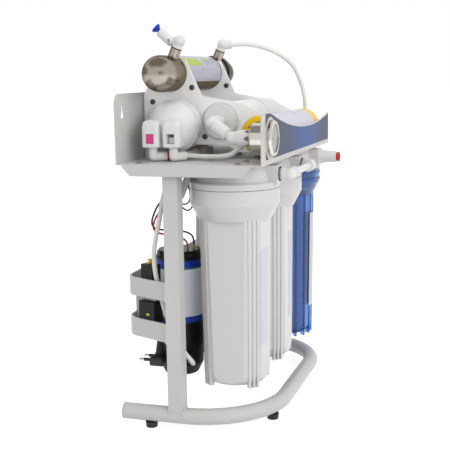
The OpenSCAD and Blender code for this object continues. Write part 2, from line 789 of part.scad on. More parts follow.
// Cartridge with two end discs a little wider than its body
module filter_cartridge(end_t) translate([0, 0, filter_foot]) difference() {
  union() {
    cylinder(r = filter_r, h = filter_top - filter_foot);
    for (z = [0, filter_top - filter_foot - end_t]) translate([0, 0, z]) cylinder(r = filter_r + 1, h = end_t);
  }
  translate([0, 0, -cut]) cylinder(r = filter_bore_r, h = filter_top - filter_foot + 2 * cut);
}

module block_filter() color("dimgray") seat() translate([-housing_pitch, 0, 0]) filter_cartridge(6);
module carbon_filter() color("slategray") seat() filter_cartridge(9);
module sediment_filter() color("ivory") seat() translate([housing_pitch, 0, 0]) filter_cartridge(3);

// Elbow that screws into a port facing -Y at the origin and turns to +X
module port_elbow(r_tube) difference() {
  union() {
    along_y(-elbow_reach, thread_l, thread_r);
    along_y(-elbow_reach, -1, elbow_r - 1);
    translate([0, -3.5, 0]) rotate([90, 0, 0]) cylinder(r = elbow_r + 1.5, h = 4, $fn = 6);
    translate([0, -elbow_reach, 0]) sphere(r = elbow_r - 1);
    translate([0, -elbow_reach, 0]) along_x(0, elbow_arm, elbow_r - 1);
    translate([0, -elbow_reach, 0]) along_x(elbow_arm - 10, elbow_arm, elbow_r);
  }
  translate([0, -elbow_reach, 0]) along_x(elbow_arm - socket_depth, elbow_arm + cut, r_tube + tube_gap);
}

module port_elbows() color(white_plastic) seat() {
  translate([-housing_pitch, -port_reach, port_z]) port_elbow(tube_38_d / 2);
  translate([0, -port_reach, port_z]) mirror([1, 0, 0]) port_elbow(tube_38_d / 2);
  translate([0, port_reach, port_z]) mirror([0, 1, 0]) port_elbow(tube_38_d / 2);
  translate([housing_pitch, port_reach, port_z]) rotate(180) port_elbow(tube_38_d / 2);
  translate([-housing_pitch, port_reach, port_z]) rotate(180) port_elbow(tube_14_d / 2);
}

module jumper_tubes() color("ghostwhite") seat() {
  inset = elbow_arm - socket_depth + fit_gap;
  translate([0, -jumper_y, port_z]) along_x(-housing_pitch + inset, -inset, tube_38_d / 2);
  translate([0, jumper_y, port_z]) along_x(inset, housing_pitch - inset, tube_38_d / 2);
}

module inlet_fitting() color(white_plastic) seat()
  translate([housing_pitch, -port_reach, port_z]) difference() {
    union() {
      along_y(-inlet_l, thread_l, thread_r);
      rotate([90, 0, 0]) cylinder(r = inlet_r + 2, h = 6, $fn = 6);
      rotate([90, 0, 0]) cylinder(r1 = inlet_r + 1, r2 = inlet_r - 0.8, h = inlet_l);
    }
    along_y(-inlet_l - cut, -inlet_l + collet_sleeve_l + collet_travel, collet_r + run_gap);
    along_y(-inlet_l, thread_l + cut, tube_14_d / 2 - 0.7);
  }

module inlet_collet() color("crimson") seat()
  translate([housing_pitch, -port_reach - inlet_l - collet_travel - fit_gap, port_z]) difference() {
    union() {
      along_y(-collet_t, 0, collet_flange_r);
      along_y(-collet_t, collet_sleeve_l, collet_r);
    }
    along_y(-collet_t - cut, collet_sleeve_l + cut, tube_38_d / 2 + tube_gap);
  }

module membrane_housing() color(white_plastic) seat() translate([membrane_x0, membrane_y, membrane_z])
  rotate([0, 90, 0]) rotate_extrude() polygon([
    [membrane_r - 4, 0], [membrane_r, 0], [membrane_r, membrane_l], [membrane_r - 4, membrane_l + 9],
    [membrane_r - 13, membrane_l + 15], [nipple_pipe_r + 2, membrane_l + 17],
    [nipple_pipe_r + 2, membrane_l + membrane_spout], [tube_14_d / 2 + tube_gap, membrane_l + membrane_spout],
    [tube_14_d / 2 + tube_gap, membrane_l - 4], [membrane_r - 4, membrane_l - 4]
  ]);

// Screw cap with a domed end and two port columns that point down
module membrane_cap() color(white_plastic) seat() translate([0, membrane_y, membrane_z]) difference() {
  union() {
    along_x(rim_x, rim_x + membrane_rim_l, membrane_rim_r);
    translate([rim_x, 0, 0]) rotate([0, -90, 0]) rotate_extrude()
      intersection() {
        translate([0, dome_l - membrane_rim_r]) circle(r = membrane_rim_r - 0.8);
        square([membrane_rim_r - 1.5, dome_l + cut]);
      }
    for (y = column_ys) translate([column_x, y - membrane_y, column_foot - membrane_z]) {
      cylinder(r = column_r, h = column_top - column_foot);
      translate([0, 0, column_top - column_foot]) sphere(r = column_r);
    }
  }
  along_x(membrane_x0 - 0.6, rim_x + membrane_rim_l + cut, membrane_r + fit_gap);
  for (y = column_ys) translate([column_x, y - membrane_y, 0]) {
    translate([0, 0, column_foot - membrane_z - cut]) cylinder(r = column_bore_r + tube_gap, h = column_socket + cut);
    translate([-column_r - cut, -window_w / 2, window_z - membrane_z])
      cube([column_r + cut + column_bore_r, window_w, window_h]);
  }
}

module membrane_element() color("lightsteelblue") seat() translate([0, membrane_y, membrane_z]) {
  along_x(membrane_x0 + 2, membrane_x0 + membrane_l - 12, membrane_r - 4 - fit_gap);
  along_x(membrane_x0 + membrane_l - 12, membrane_x0 + membrane_l - 4 - fit_gap, 8);
}

// Elbow whose spigot goes up into a column and whose arm turns to +X
module column_elbow() difference() {
  union() {
    translate([0, 0, elbow_z]) cylinder(r = column_bore_r, h = column_foot + column_socket - 3 - elbow_z);
    translate([0, 0, elbow_z]) sphere(r = column_bore_r);
    translate([0, 0, elbow_z]) along_x(0, column_arm, column_bore_r);
  }
  translate([0, 0, elbow_z]) along_x(column_bore_r, column_arm + cut, tube_14_d / 2 + tube_gap);
}

// Elbow on the far nipple of the post filter, arm up to the product tube
module product_elbow() difference() {
  union() {
    along_x(0, nipple_pipe_l, nipple_pipe_r + 3);
    translate([nipple_pipe_l, 0, 0]) sphere(r = nipple_pipe_r + 3);
    translate([nipple_pipe_l, 0, 0]) cylinder(r = nipple_pipe_r + 2, h = product_rise);
  }
  along_x(-cut, nipple_pipe_l - 1, nipple_pipe_r + tube_gap);
  translate([nipple_pipe_l, 0, product_rise - product_socket])
    cylinder(r = tube_14_d / 2 + tube_gap, h = product_socket + cut);
}

module tray_elbows() color(white_plastic) seat() {
  for (i = [0, 1]) translate([column_x, column_ys[i], 0]) rotate(elbow_turns[i]) column_elbow();
  translate([inline_x1, -post_filter_fwd, post_filter_z]) product_elbow();
}

module locking_clip() color("hotpink") seat()
  translate([column_x, column_ys[0], window_z]) difference() {
    translate([-column_r + 1, -window_w / 2 + fit_gap, fit_gap])
      cube([column_r - 1, window_w - 2 * fit_gap, window_h - 2 * fit_gap]);
    translate([0, 0, -cut]) cylinder(r = column_bore_r + fit_gap, h = window_h + 2 * cut);
  }

module uv_chamber() color("silver") seat() translate([0, uv_y, uv_z]) difference() {
  union() {
    translate([uv_x0, 0, 0]) sphere(r = uv_r);
    along_x(uv_x0, uv_x1, uv_r);
    for (x = [stub_x0, stub_x1]) translate([x, 0, 0]) rotate([stub_lean, 0, 0]) cylinder(r = stub_r, h = stub_reach);
  }
  translate([uv_x0, 0, 0]) sphere(r = uv_r - uv_wall);
  along_x(uv_x0, uv_x1 + cut, uv_r - uv_wall);
  for (x = [stub_x0, stub_x1]) translate([x, 0, 0]) rotate([stub_lean, 0, 0])
    cylinder(r = stub_r - stub_wall, h = stub_reach + cut);
}

module uv_boot() color("dimgray") seat() translate([0, uv_y, uv_z]) rotate([0, 90, 0]) rotate_extrude()
  polygon([
    [0, uv_x1 + boot_l], [boot_end_r - 5, uv_x1 + boot_l], [boot_end_r - 1.5, uv_x1 + boot_l - 1.5],
    [boot_end_r, uv_x1 + boot_l - 5], [uv_r + boot_wall - 1, uv_x1 + 4], [uv_r + boot_wall, uv_x1],
    [uv_r + boot_wall, uv_x1 - boot_grip], [uv_r + fit_gap, uv_x1 - boot_grip], [uv_r + fit_gap, uv_x1 + fit_gap],
    [quartz_r + fit_gap, uv_x1 + fit_gap], [quartz_r + fit_gap, uv_x1 + 16], [0, uv_x1 + 16]
  ]);

module uv_sleeve() color("aliceblue") seat() translate([0, uv_y, uv_z]) difference() {
  union() {
    along_x(uv_x0 + 6, uv_x1 + 15, quartz_r);
    along_x(uv_x1 - 8, uv_x1, uv_r - uv_wall - fit_gap);
  }
  along_x(uv_x0 + 8, uv_x1 + 15 + cut, quartz_r - 1.2);
}

module uv_lamp() color("white") seat() translate([0, uv_y, uv_z]) {
  along_x(uv_x0 + 8.3, uv_x1 + 8, lamp_r);
  along_x(uv_x1 + 8, uv_x1 + 15, quartz_r - 1.2 - fit_gap);
}

// Spigot, neck and ball on a chamber stub
module stub_elbow() rotate([stub_lean, 0, 0]) {
  translate([0, 0, stub_reach - uv_spigot]) cylinder(r = stub_r - stub_wall - tube_gap, h = uv_spigot + cut);
  translate([0, 0, stub_reach + fit_gap]) cylinder(r = uv_elbow_r - 1.2, h = uv_elbow_at - stub_reach - fit_gap);
  translate([0, 0, uv_elbow_at]) sphere(r = uv_elbow_r);
}

// Frame of the outlet arm, +Z out of its socket
module on_outlet() translate([stub_x0, uv_y, uv_z]) translate(uv_elbow_at * lean_dir + outlet_root)
  rotate([-outlet_angle, 0, 0]) children();

module uv_elbows() color(white_plastic) seat() {
  difference() {
    union() {
      translate([stub_x0, uv_y, uv_z]) stub_elbow();
      translate([stub_x0, uv_y, uv_z]) translate(uv_elbow_at * lean_dir)
        translate([0, 0, outlet_root.z]) along_y(0, outlet_root.y, outlet_arm_r - 1.3);
      on_outlet() {
        sphere(r = outlet_arm_r);
        cylinder(r = outlet_arm_r, h = outlet_arm);
      }
    }
    on_outlet() {
      translate([0, 0, outlet_arm - socket_depth]) cylinder(r = plug_stem_r + run_gap, h = socket_depth + cut);
      along_x(-outlet_arm_r - cut, -outlet_hole_r, outlet_hole_r);
    }
  }
  difference() {
    union() {
      translate([stub_x1, uv_y, uv_z]) stub_elbow();
      translate(far_ball) rotate(product_turn) along_x(0, product_arm, uv_elbow_r - 1.5);
    }
    translate(far_ball) rotate(product_turn) along_x(product_arm - product_socket, product_arm + cut, tube_14_d / 2 + tube_gap);
  }
}

module outlet_plug() color("mediumblue") seat() on_outlet() {
  translate([0, 0, outlet_arm - socket_depth + fit_gap]) cylinder(r = plug_stem_r, h = socket_depth + plug_stem_out);
  translate([0, 0, outlet_arm + plug_stem_out - 1]) cylinder(r1 = plug_head_r - 2, r2 = plug_head_r, h = plug_head_t);
}

module product_tube() color("ghostwhite") seat() swept_tube(smooth(product_route, 2), tube_14_d / 2, 12);

// Clip plate that holds the chamber, the membrane and both filters
module plate_outline() difference() {
  polygon(plate_shape);
  translate([uv_y, uv_up]) circle(r = uv_r + plate_hole_gap);
  translate([membrane_y, membrane_up]) circle(r = membrane_r + plate_hole_gap);
  translate([inline_y, inline_up]) circle(r = inline_r + plate_hole_gap);
  translate([-post_filter_fwd, post_filter_up]) circle(r = inline_r + plate_hole_gap);
  for (p = plate_spots) translate(p) circle(r = plate_screw_r + 0.2);
}

module support_plate(x) color(white_plastic) seat()
  translate([x, 0, floor_z]) rotate([90, 0, 90]) linear_extrude(plate_t) plate_outline();

module near_plate() support_plate(near_plate_x);
module far_plate() support_plate(far_plate_x);

module plate_screws() color(black_plastic) seat() for (x = [near_plate_x, far_plate_x], p = plate_spots)
  translate([x, p.x, floor_z + p.y]) {
    along_x(-2.6, 0, plate_head_r);
    along_x(-1, plate_t + 4, plate_screw_r);
    translate([plate_t, 0, 0]) rotate([0, 90, 0]) cylinder(r = plate_nut_r, h = 3, $fn = 6);
  }

module post_filter() color("lavender") seat() translate([0, -post_filter_fwd, post_filter_z])
  along_x(inline_x0 + yellow_l, inline_x1 - yellow_l, inline_r);

// Cap with a rounded rim and a port nipple, pointing to -X from its seat at 0
module yellow_cap() rotate([0, -90, 0]) rotate_extrude() polygon([
  [0, 0], [inline_r, 0], [inline_r, yellow_l - 5], [inline_r - 2, yellow_l - 1.5],
  [inline_r - 6, yellow_l], [nipple_pipe_r, yellow_l], [nipple_pipe_r, yellow_l + nipple_pipe_l - 1],
  [0, yellow_l + nipple_pipe_l - 1]
]);

module post_filter_caps() color("gold") seat() translate([0, -post_filter_fwd, post_filter_z]) {
  translate([inline_x0 + yellow_l, 0, 0]) difference() {
    yellow_cap();
    along_x(-yellow_l - nipple_pipe_l - cut, -yellow_l, tube_14_d / 2 + tube_gap);
  }
  translate([inline_x1 - yellow_l, 0, 0]) mirror([1, 0, 0]) yellow_cap();
}

module inline_filter() color("white") seat() translate([0, inline_y, inline_z]) {
  along_x(inline_x0 + 5, inline_x1 - 25, inline_r);
  along_x(inline_x0, inline_x0 + 5, inline_r - 3);
  along_x(inline_x0 - nipple_pipe_l, inline_x0, nipple_pipe_r);
  along_x(inline_x1 - 25, inline_x1 - 20, inline_r - 3);
}

// Gauge pieces stand on the panel face, with +Z of their own frame to the front
module on_gauge() translate([gauge_x, -front_face, gauge_z]) rotate([90, 0, 0]) children();

module gauge_case() color("silver") seat() on_gauge() rotate_extrude() polygon([
  [0, -case_l - gauge_stem_l], [gauge_stem_r, -case_l - gauge_stem_l], [gauge_stem_r, -case_l],
  [case_r - 2, -case_l], [case_r, -case_l + 2], [case_r, 0], [bezel_r - 0.8, 0], [bezel_r, 0.8],
  [bezel_r, bezel_l - 2], [bezel_r - 1.5, bezel_l], [dial_r - 1, bezel_l], [dial_r - 1, bezel_l - lip_t],
  [dial_r + 0.1, bezel_l - lip_t], [dial_r + 0.1, dial_seat], [0, dial_seat]
]);

module gauge_dial() color("white") seat() on_gauge() translate([0, 0, dial_seat]) {
  cylinder(r = dial_r, h = dial_t);
  cylinder(r = pivot_r, h = pivot_h);
}

module gauge_pointer() color(black_plastic) seat() on_gauge() translate([0, 0, dial_seat + dial_t + pointer_gap])
  difference() {
    union() {
      cylinder(r = 2.6, h = hub_h);
      rotate(225) linear_extrude(0.8) polygon([[-6, -1.4], [0, -1.2], [dial_r - 4, -0.4], [dial_r - 4, 0.4],
        [0, 1.2], [-6, 1.4]]);
    }
    translate([0, 0, -cut]) cylinder(r = pivot_r + run_gap, h = hub_h + 2 * cut);
  }

module gauge_glass() color("lightcyan") seat() on_gauge()
  translate([0, 0, bezel_l - lip_t - glass_t]) cylinder(r = dial_r, h = glass_t);

// Socket on the gauge stem, angled branch and union on the inline filter
module gauge_adapter() color(white_plastic) seat() {
  start = [gauge_x, case_l + adapter_l - front_face, gauge_z];
  way = branch_end - start;
  difference() {
    union() {
      translate([gauge_x, 0, gauge_z]) along_y(start.y - adapter_l + fit_gap, start.y - 8, adapter_r);
      translate([gauge_x, 0, gauge_z]) along_y(start.y - 8, start.y, adapter_r - 2);
      translate(start) sphere(r = adapter_r - 2);
      translate(start) rotate([0, acos(way.z / norm(way)), atan2(way.y, way.x)]) {
        cylinder(r = 6, h = norm(way));
        translate([0, 0, 9]) cylinder(r = 8.5, h = norm(way) - 16);
      }
      translate(branch_end) sphere(r = 8);
      translate([0, branch_end.y, branch_end.z]) along_x(branch_end.x, inline_x0 - fit_gap, 8.5);
    }
    translate([gauge_x, 0, gauge_z])
      along_y(start.y - adapter_l - cut, start.y - adapter_l + gauge_stem_l + fit_gap, gauge_stem_r + tube_gap);
    translate([0, inline_y, inline_z])
      along_x(inline_x0 - nipple_pipe_l - fit_gap, inline_x0 + cut, nipple_pipe_r + tube_gap);
  }
}

module on_pump() translate([pump_x, pump_y, 0]) children();

module pump_motor() color(black_plastic) seat() on_pump() difference() {
  union() {
    translate([0, 0, pump_z1]) cylinder(r = motor_r, h = motor_l - 10);
    translate([0, 0, pump_top - 10]) cylinder(r1 = motor_r - 1, r2 = motor_r - 5, h = 10);
  }
  translate([0, 0, pump_z1 + motor_end_t]) cylinder(r = motor_r - can_wall, h = motor_l - 2 * motor_end_t - 8);
  translate([0, 0, pump_z1 - cut]) cylinder(r = shaft_r + run_gap, h = motor_l - 8);
}

module pump_rotor() color("silver") seat() on_pump() {
  translate([0, 0, pump_z1 + motor_end_t + 8]) cylinder(r = rotor_r, h = motor_l - 2 * motor_end_t - 24);
  translate([0, 0, pump_z1 + fit_gap]) cylinder(r = shaft_r, h = motor_l - 12);
}

module pump_head() color(black_plastic) seat() on_pump() difference() {
  union() {
    translate([0, 0, pump_z0]) cylinder(r1 = head_r - 7, r2 = head_r, h = 14);
    translate([0, 0, pump_z0 + 14]) cylinder(r = head_r, h = head_h - 20);
    translate([0, 0, pump_z1 - 6]) cylinder(r = head_r + 2, h = 6);
    for (a = pump_port_angles) translate([0, 0, pump_port_z]) rotate(a) along_x(0, head_r + pump_port_l, 8);
  }
  for (a = pump_port_angles) translate([0, 0, pump_port_z]) rotate(a)
    along_x(head_r - 3, head_r + pump_port_l + cut, tube_14_d / 2 + tube_gap);
}

// Folded bracket: a plate on the straps and two cheeks that cradle the motor
module pump_bracket() color(white_paint) seat() difference() {
  translate([pump_x - bracket_w / 2, pump_y, bracket_z0])
    cube([bracket_w, strap_in - pump_y, bracket_z1 - bracket_z0]);
  translate([pump_x - bracket_w / 2 + bracket_t, pump_y - cut, bracket_z0 - cut])
    cube([bracket_w - 2 * bracket_t, strap_in - pump_y - bracket_t + cut, bracket_z1 - bracket_z0 + 2 * cut]);
  on_pump() translate([0, 0, bracket_z0 - cut]) cylinder(r = motor_r + fit_gap, h = bracket_z1 - bracket_z0 + 2 * cut);
}

// Frame on the inner face of the near strap side: X along the side, Y inwards
module on_strap_side()
  translate([strap_foot.x, strap_foot.y, 0]) rotate(strap_side) mirror([0, 1, 0])
    translate([0, strap_t + fit_gap, 0]) children();

module power_adapter() color(black_plastic) seat() on_strap_side() {
  difference() {
    translate([adapter_box_at, 0, lower_strap_z - 4]) cube(adapter_box);
    translate([adapter_box_at, box_t, lower_strap_z - 4 + adapter_box.z]) rotate([45, 0, 0])
      cube([3 * adapter_box.x, box_edge, box_edge], center = true);
  }
  translate([0, box_t / 2, lower_strap_z + 2])
    along_x(adapter_box_at + adapter_box.x, adapter_box_at + adapter_box.x + gland_l, gland_r);
}

module uv_ballast() color(black_plastic) seat() on_strap_side()
  translate([ballast_box_at, 0, upper_strap_z - ballast_drop]) cube(ballast_box);

module pump_tubes() color("ghostwhite") seat() {
  swept_tube(smooth(feed_route, 2), tube_14_d / 2, 8);
  swept_tube(smooth(rise_route, 2), tube_14_d / 2, 8);
}

module tray_tubes() color("ghostwhite") seat() for (route = [floor_route, valve_route])
  swept_tube(smooth(route, 2), tube_14_d / 2, 8);

module shutoff_valve() color("dimgray") seat() translate([rise_end.x, rise_end.y, floor_z]) {
  difference() {
    union() {
      translate([-valve_body.x / 2, -valve_body.y / 2, 0]) cube(valve_body);
      translate([0, 0, valve_body.z - 1]) cylinder(r = valve_disc_r, h = valve_disc_t + 1);
      translate([0, 0, valve_port_z]) along_x(-valve_port_l, valve_port_l, valve_port_r);
    }
    translate([0, 0, -cut]) cylinder(r = tube_14_d / 2 + tube_gap, h = valve_port_z + 1);
    translate([0, 0, valve_port_z])
      along_x(-valve_port_l - cut, valve_port_socket - valve_port_l, tube_14_d / 2 + tube_gap);
  }
}

module cord_run() color(black_plastic) seat() swept_tube(smooth(cord_run_route, 2), cord_d / 2, 8);
module cord_coil() color(black_plastic) seat() swept_tube(coil_points, cord_d / 2, 6);
module cord_drop() color(black_plastic) seat() swept_tube(smooth(cord_drop_route, 2), cord_d / 2, 8);

module mains_plug() color(black_plastic) seat() translate(plug_pos) {
  translate(-plug_body / 2) cube(plug_body);
  for (side = [-1, 1]) translate([side * pin_pitch / 2, 0, 0]) along_y(plug_body.y / 2, plug_body.y / 2 + 17, 2.4);
  translate([0, 0, plug_body.z / 2]) cylinder(r1 = plug_boot_r + 1, r2 = plug_boot_r - 1, h = plug_boot_h);
}

module cord_tie() color(black_plastic) seat() {
  depth = coil_loops * coil_step + cord_d + strap_t + 2 * fit_gap;
  inner = [tie_w + 2 * cut, depth + 2 * fit_gap, strap_h + 2 * fit_gap];
  translate([coil_x, strap_back + fit_gap - inner.y / 2, upper_strap_z]) difference() {
    cube([tie_w, inner.y + 2 * tie_t, inner.z + 2 * tie_t], center = true);
    cube(inner, center = true);
  }
}

base_tube();
tube_end_plugs();
rubber_feet();
posts();
rails();
upper_strap();
lower_strap();
tray();
tray_screws();
cap_1();
cap_2();
cap_3();
sump_1();
sump_2();
sump_3();
head_o_rings();
block_filter();
carbon_filter();
sediment_filter();
port_elbows();
jumper_tubes();
inlet_fitting();
inlet_collet();
membrane_housing();
membrane_cap();
membrane_element();
tray_elbows();
locking_clip();
uv_chamber();
uv_boot();
uv_sleeve();
uv_lamp();
uv_elbows();
outlet_plug();
product_tube();
near_plate();
far_plate();
plate_screws();
post_filter();
post_filter_caps();
inline_filter();
gauge_case();
gauge_dial();
gauge_pointer();
gauge_glass();
gauge_adapter();
pump_motor();
pump_rotor();
pump_head();
pump_bracket();
power_adapter();
uv_ballast();
pump_tubes();
tray_tubes();
shutoff_valve();
cord_run();
cord_coil();
cord_drop();
mains_plug();
cord_tie();
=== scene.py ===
import bpy, bmesh, math
from mathutils import Matrix, Vector


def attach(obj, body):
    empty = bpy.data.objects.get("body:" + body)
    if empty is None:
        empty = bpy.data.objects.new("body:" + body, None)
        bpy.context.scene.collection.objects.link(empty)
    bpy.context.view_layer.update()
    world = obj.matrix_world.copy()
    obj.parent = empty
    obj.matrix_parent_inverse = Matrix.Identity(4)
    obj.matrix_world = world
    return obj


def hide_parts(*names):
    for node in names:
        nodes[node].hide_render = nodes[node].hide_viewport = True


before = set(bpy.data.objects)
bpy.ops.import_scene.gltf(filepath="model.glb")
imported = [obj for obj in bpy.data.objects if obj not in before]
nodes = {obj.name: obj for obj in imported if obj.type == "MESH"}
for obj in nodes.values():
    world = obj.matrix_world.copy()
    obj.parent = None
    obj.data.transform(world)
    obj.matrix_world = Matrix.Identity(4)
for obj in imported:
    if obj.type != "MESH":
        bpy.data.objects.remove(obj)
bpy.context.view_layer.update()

# Photographer's view: a long lens a little above the tray, looking along the
# housing row from the gauge end. Distance and angles were fitted to the photograph.
scene = bpy.context.scene
view_from = Vector((-1.3261, -0.38773, 0.46904))
yaw, pitch, roll = (math.radians(a) for a in (17.42, 9.06, -0.96))
ahead = Vector((math.cos(yaw) * math.cos(pitch), math.sin(yaw) * math.cos(pitch), -math.sin(pitch)))
level = Vector((math.sin(yaw), -math.cos(yaw), 0))
upright = level.cross(ahead)
right = math.cos(roll) * level + math.sin(roll) * upright
upward = math.cos(roll) * upright - math.sin(roll) * level
lens_data = bpy.data.cameras.new("photo_view")
lens_data.sensor_fit = "HORIZONTAL"
lens_data.sensor_width = 36
lens_data.lens = 75.68
camera = bpy.data.objects.new("photo_view", lens_data)
camera.matrix_world = Matrix.Translation(view_from) @ Matrix((right, upward, -ahead)).transposed().to_4x4()
scene.collection.objects.link(camera)
scene.camera = camera
scene.view_settings.view_transform = "Standard"


# Studio: a white seamless floor and a white surround, lit by four soft boxes. Camera, mirror
# and clear surfaces see plain white; everything else sees a dimmer room.
def linear(code):
    """sRGB hex to linear RGBA."""
    parts = [int(code[i:i + 2], 16) / 255 for i in (1, 3, 5)]
    return (*[c / 12.92 if c <= 0.04045 else ((c + 0.055) / 1.055) ** 2.4 for c in parts], 1)


def add(tree, kind, inputs={}, **settings):
    """Adds a node with its settings; an input takes a value or another node's output."""
    made = tree.nodes.new(kind)
    for key, value in settings.items():
        setattr(made, key, value)
    for key, value in inputs.items():
        if isinstance(value, bpy.types.NodeSocket):
            tree.links.new(value, made.inputs[key])
        else:
            made.inputs[key].default_value = value
    return made


def seen_directly(tree):
    """1 for what the camera, a mirror or a clear surface sees, 0 for scattered light."""
    ray = add(tree, "ShaderNodeLightPath").outputs
    either = add(tree, "ShaderNodeMath", {0: ray["Is Camera Ray"], 1: ray["Is Glossy Ray"]},
                 operation="MAXIMUM")
    any_of_them = add(tree, "ShaderNodeMath", {0: either.outputs[0], 1: ray["Is Transmission Ray"]},
                      operation="MAXIMUM")
    return any_of_them.outputs[0]


def stage_sheet(name, corners, material):
    """A flat sheet of the studio, which isn't part of the object."""
    mesh = bpy.data.meshes.new(name)
    mesh.from_pydata(corners, [], [(0, 1, 2, 3)])
    mesh.materials.append(material)
    made = bpy.data.objects.new(name, mesh)
    scene.collection.objects.link(made)
    return made


room_light, seen_light = 0.52, 1.0
room = bpy.data.worlds.new("studio_room")
scene.world = room
room.use_nodes = True
tree = room.node_tree
tree.nodes.clear()
dim = add(tree, "ShaderNodeBackground", {"Color": linear("#ffffff"), "Strength": room_light})
white = add(tree, "ShaderNodeBackground", {"Color": linear("#ffffff"), "Strength": seen_light})
mixed = add(tree, "ShaderNodeMixShader", {0: seen_directly(tree), 1: dim.outputs[0], 2: white.outputs[0]})
add(tree, "ShaderNodeOutputWorld", {"Surface": mixed.outputs[0]})

# Matt paper: evenly white to the camera, with only the soft shade by the feet left in it
paper_lift, floor_reach = 0.74, 30.0
floor_paper = bpy.data.materials.new("seamless paper, matt")
floor_paper.use_nodes = True
tree = floor_paper.node_tree
tree.nodes.clear()
lift = add(tree, "ShaderNodeMath", {0: seen_directly(tree), 1: paper_lift}, operation="MULTIPLY")
paper = add(tree, "ShaderNodeBsdfDiffuse", {"Color": linear("#e4e4e4")})
glow = add(tree, "ShaderNodeEmission", {"Color": linear("#ffffff"), "Strength": lift.outputs[0]})
both = add(tree, "ShaderNodeAddShader", {0: paper.outputs[0], 1: glow.outputs[0]})
add(tree, "ShaderNodeOutputMaterial", {"Surface": both.outputs[0]})
floor_corners = [(floor_reach * x, floor_reach * y, 0) for x, y in ((-1, -1), (1, -1), (1, 1), (-1, 1))]
stage_sheet("studio_floor", floor_corners, floor_paper)

for lamp_name, place, aim, size, power in (
        ("soft_box_left", (-1.5, 1.3, 1.7), (0, 0, 0.28), 1.4, 9),
        ("soft_box_front", (-0.5, -1.9, 1.5), (0, 0, 0.28), 1.4, 12),
        ("soft_box_top", (0.1, 0.1, 2.2), (0, 0, 0.3), 1.2, 8),
        ("soft_box_camera", (-1.35, -1.35, 0.75), (-0.1, 0, 0.38), 1.1, 10)):
    lamp = bpy.data.lights.new(lamp_name, "AREA")
    lamp.size = size
    lamp.energy = power
    box = bpy.data.objects.new(lamp_name, lamp)
    box.location = place
    box.rotation_euler = (Vector(aim) - Vector(place)).to_track_quat("-Z", "Y").to_euler()
    box.visible_glossy = False
    scene.collection.objects.link(box)

# Grey card: dark against the white room and seen by mirror surfaces only, it gives metal its contrast
card_grey = bpy.data.materials.new("card, mid grey")
card_grey.use_nodes = True
tree = card_grey.node_tree
tree.nodes.clear()
card_tone = add(tree, "ShaderNodeEmission", {"Color": linear("#a39d95"), "Strength": 1.0})
add(tree, "ShaderNodeOutputMaterial", {"Surface": card_tone.outputs[0]})
for card_name, corners in (
        ("dark_card_near", [(-3, -2.6, 0.2), (-3, -0.4, 0.2), (-3, -0.4, 1.3), (-3, -2.6, 1.3)]),
        ("dark_card_over", [(-2.2, -1.2, 2.4), (0.6, -1.2, 2.4), (0.6, 2.4, 2.4), (-2.2, 2.4, 2.4)]),
        ("dark_card_side", [(-1.6, 3, 0.3), (1.8, 3, 0.3), (1.8, 3, 1.7), (-1.6, 3, 1.7)])):
    card = stage_sheet(card_name, corners, card_grey)
    card.visible_camera = card.visible_diffuse = False
    card.visible_shadow = card.visible_transmission = False

# Stand: steel tube bent to a U, square posts, rails and flat straps, all welded
# together, then powder coated white and baked. The pump's folded bracket is coated with it.
row_y = 26.95


def at(x, y, z):
    """Millimetres on the housing row's own axes to metres in the part's frame."""
    return Vector((x / 1000, (y - row_y) / 1000, z / 1000))


def material_of(name, **values):
    """A material with its Principled shader; returns it with its tree, shader and object position."""
    made = bpy.data.materials.new(name)
    made.use_nodes = True
    tree = made.node_tree
    shader = tree.nodes["Principled BSDF"]
    for key, value in values.items():
        shader.inputs[key.replace("_", " ")].default_value = value
    return made, tree, shader, add(tree, "ShaderNodeTexCoord").outputs["Object"]


noise_low, noise_high = 0.3, 0.7


def skin(name, code, shade, dull, wave, relief, drift=70, **values):
    """A coat or a moulding: colour that drifts towards a shade over drift mm, and a relief of
    relief mm with waves wave mm long, which also dulls the gloss from the first to the second value."""
    made, tree, shader, place = material_of(name, **values)
    cloud = add(tree, "ShaderNodeTexNoise", {"Vector": place, "Scale": 1000 / drift, "Detail": 3.0})
    tone = add(tree, "ShaderNodeMix", {0: cloud.outputs[0], 6: linear(code), 7: linear(shade)},
               data_type="RGBA")
    peel = add(tree, "ShaderNodeTexNoise", {"Vector": place, "Scale": 1000 / wave, "Detail": 2.0})
    gloss = add(tree, "ShaderNodeMapRange", {"Value": peel.outputs[0], "From Min": noise_low,
                                             "From Max": noise_high, "To Min": dull[0], "To Max": dull[1]})
    height = add(tree, "ShaderNodeBump", {"Height": peel.outputs[0], "Distance": relief / 1000})
    tree.links.new(tone.outputs[2], shader.inputs["Base Color"])
    tree.links.new(gloss.outputs[0], shader.inputs["Roughness"])
    tree.links.new(height.outputs[0], shader.inputs["Normal"])
    return made


def dress(material, *names):
    """Gives the named CAD pieces this material."""
    for name in names:
        slots = nodes[name].data.materials
        slots.clear()
        slots.append(material)


# Baked powder: satin, with the orange peel of the melted grains, drawn at 2.5 mm to show at all
powder = skin("steel, powder coated and baked", "#cecdcb", "#c8c7c5", (0.34, 0.44), 2.5, 0.025)
dress(powder, "base_tube", "posts", "rails", "upper_strap", "lower_strap", "tray", "pump_bracket")


def geometry_tree(name, **inputs):
    """An empty Geometry Nodes tree with a geometry, these sizes and a material as its inputs."""
    tree = bpy.data.node_groups.new(name, "GeometryNodeTree")
    tree.interface.new_socket("Geometry", in_out="INPUT", socket_type="NodeSocketGeometry")
    for key, kind in inputs.items():
        tree.interface.new_socket(key.replace("_", " "), in_out="INPUT", socket_type="NodeSocket" + kind)
    tree.interface.new_socket("Material", in_out="INPUT", socket_type="NodeSocketMaterial")
    tree.interface.new_socket("Geometry", in_out="OUTPUT", socket_type="NodeSocketGeometry")
    return tree, add(tree, "NodeGroupInput")


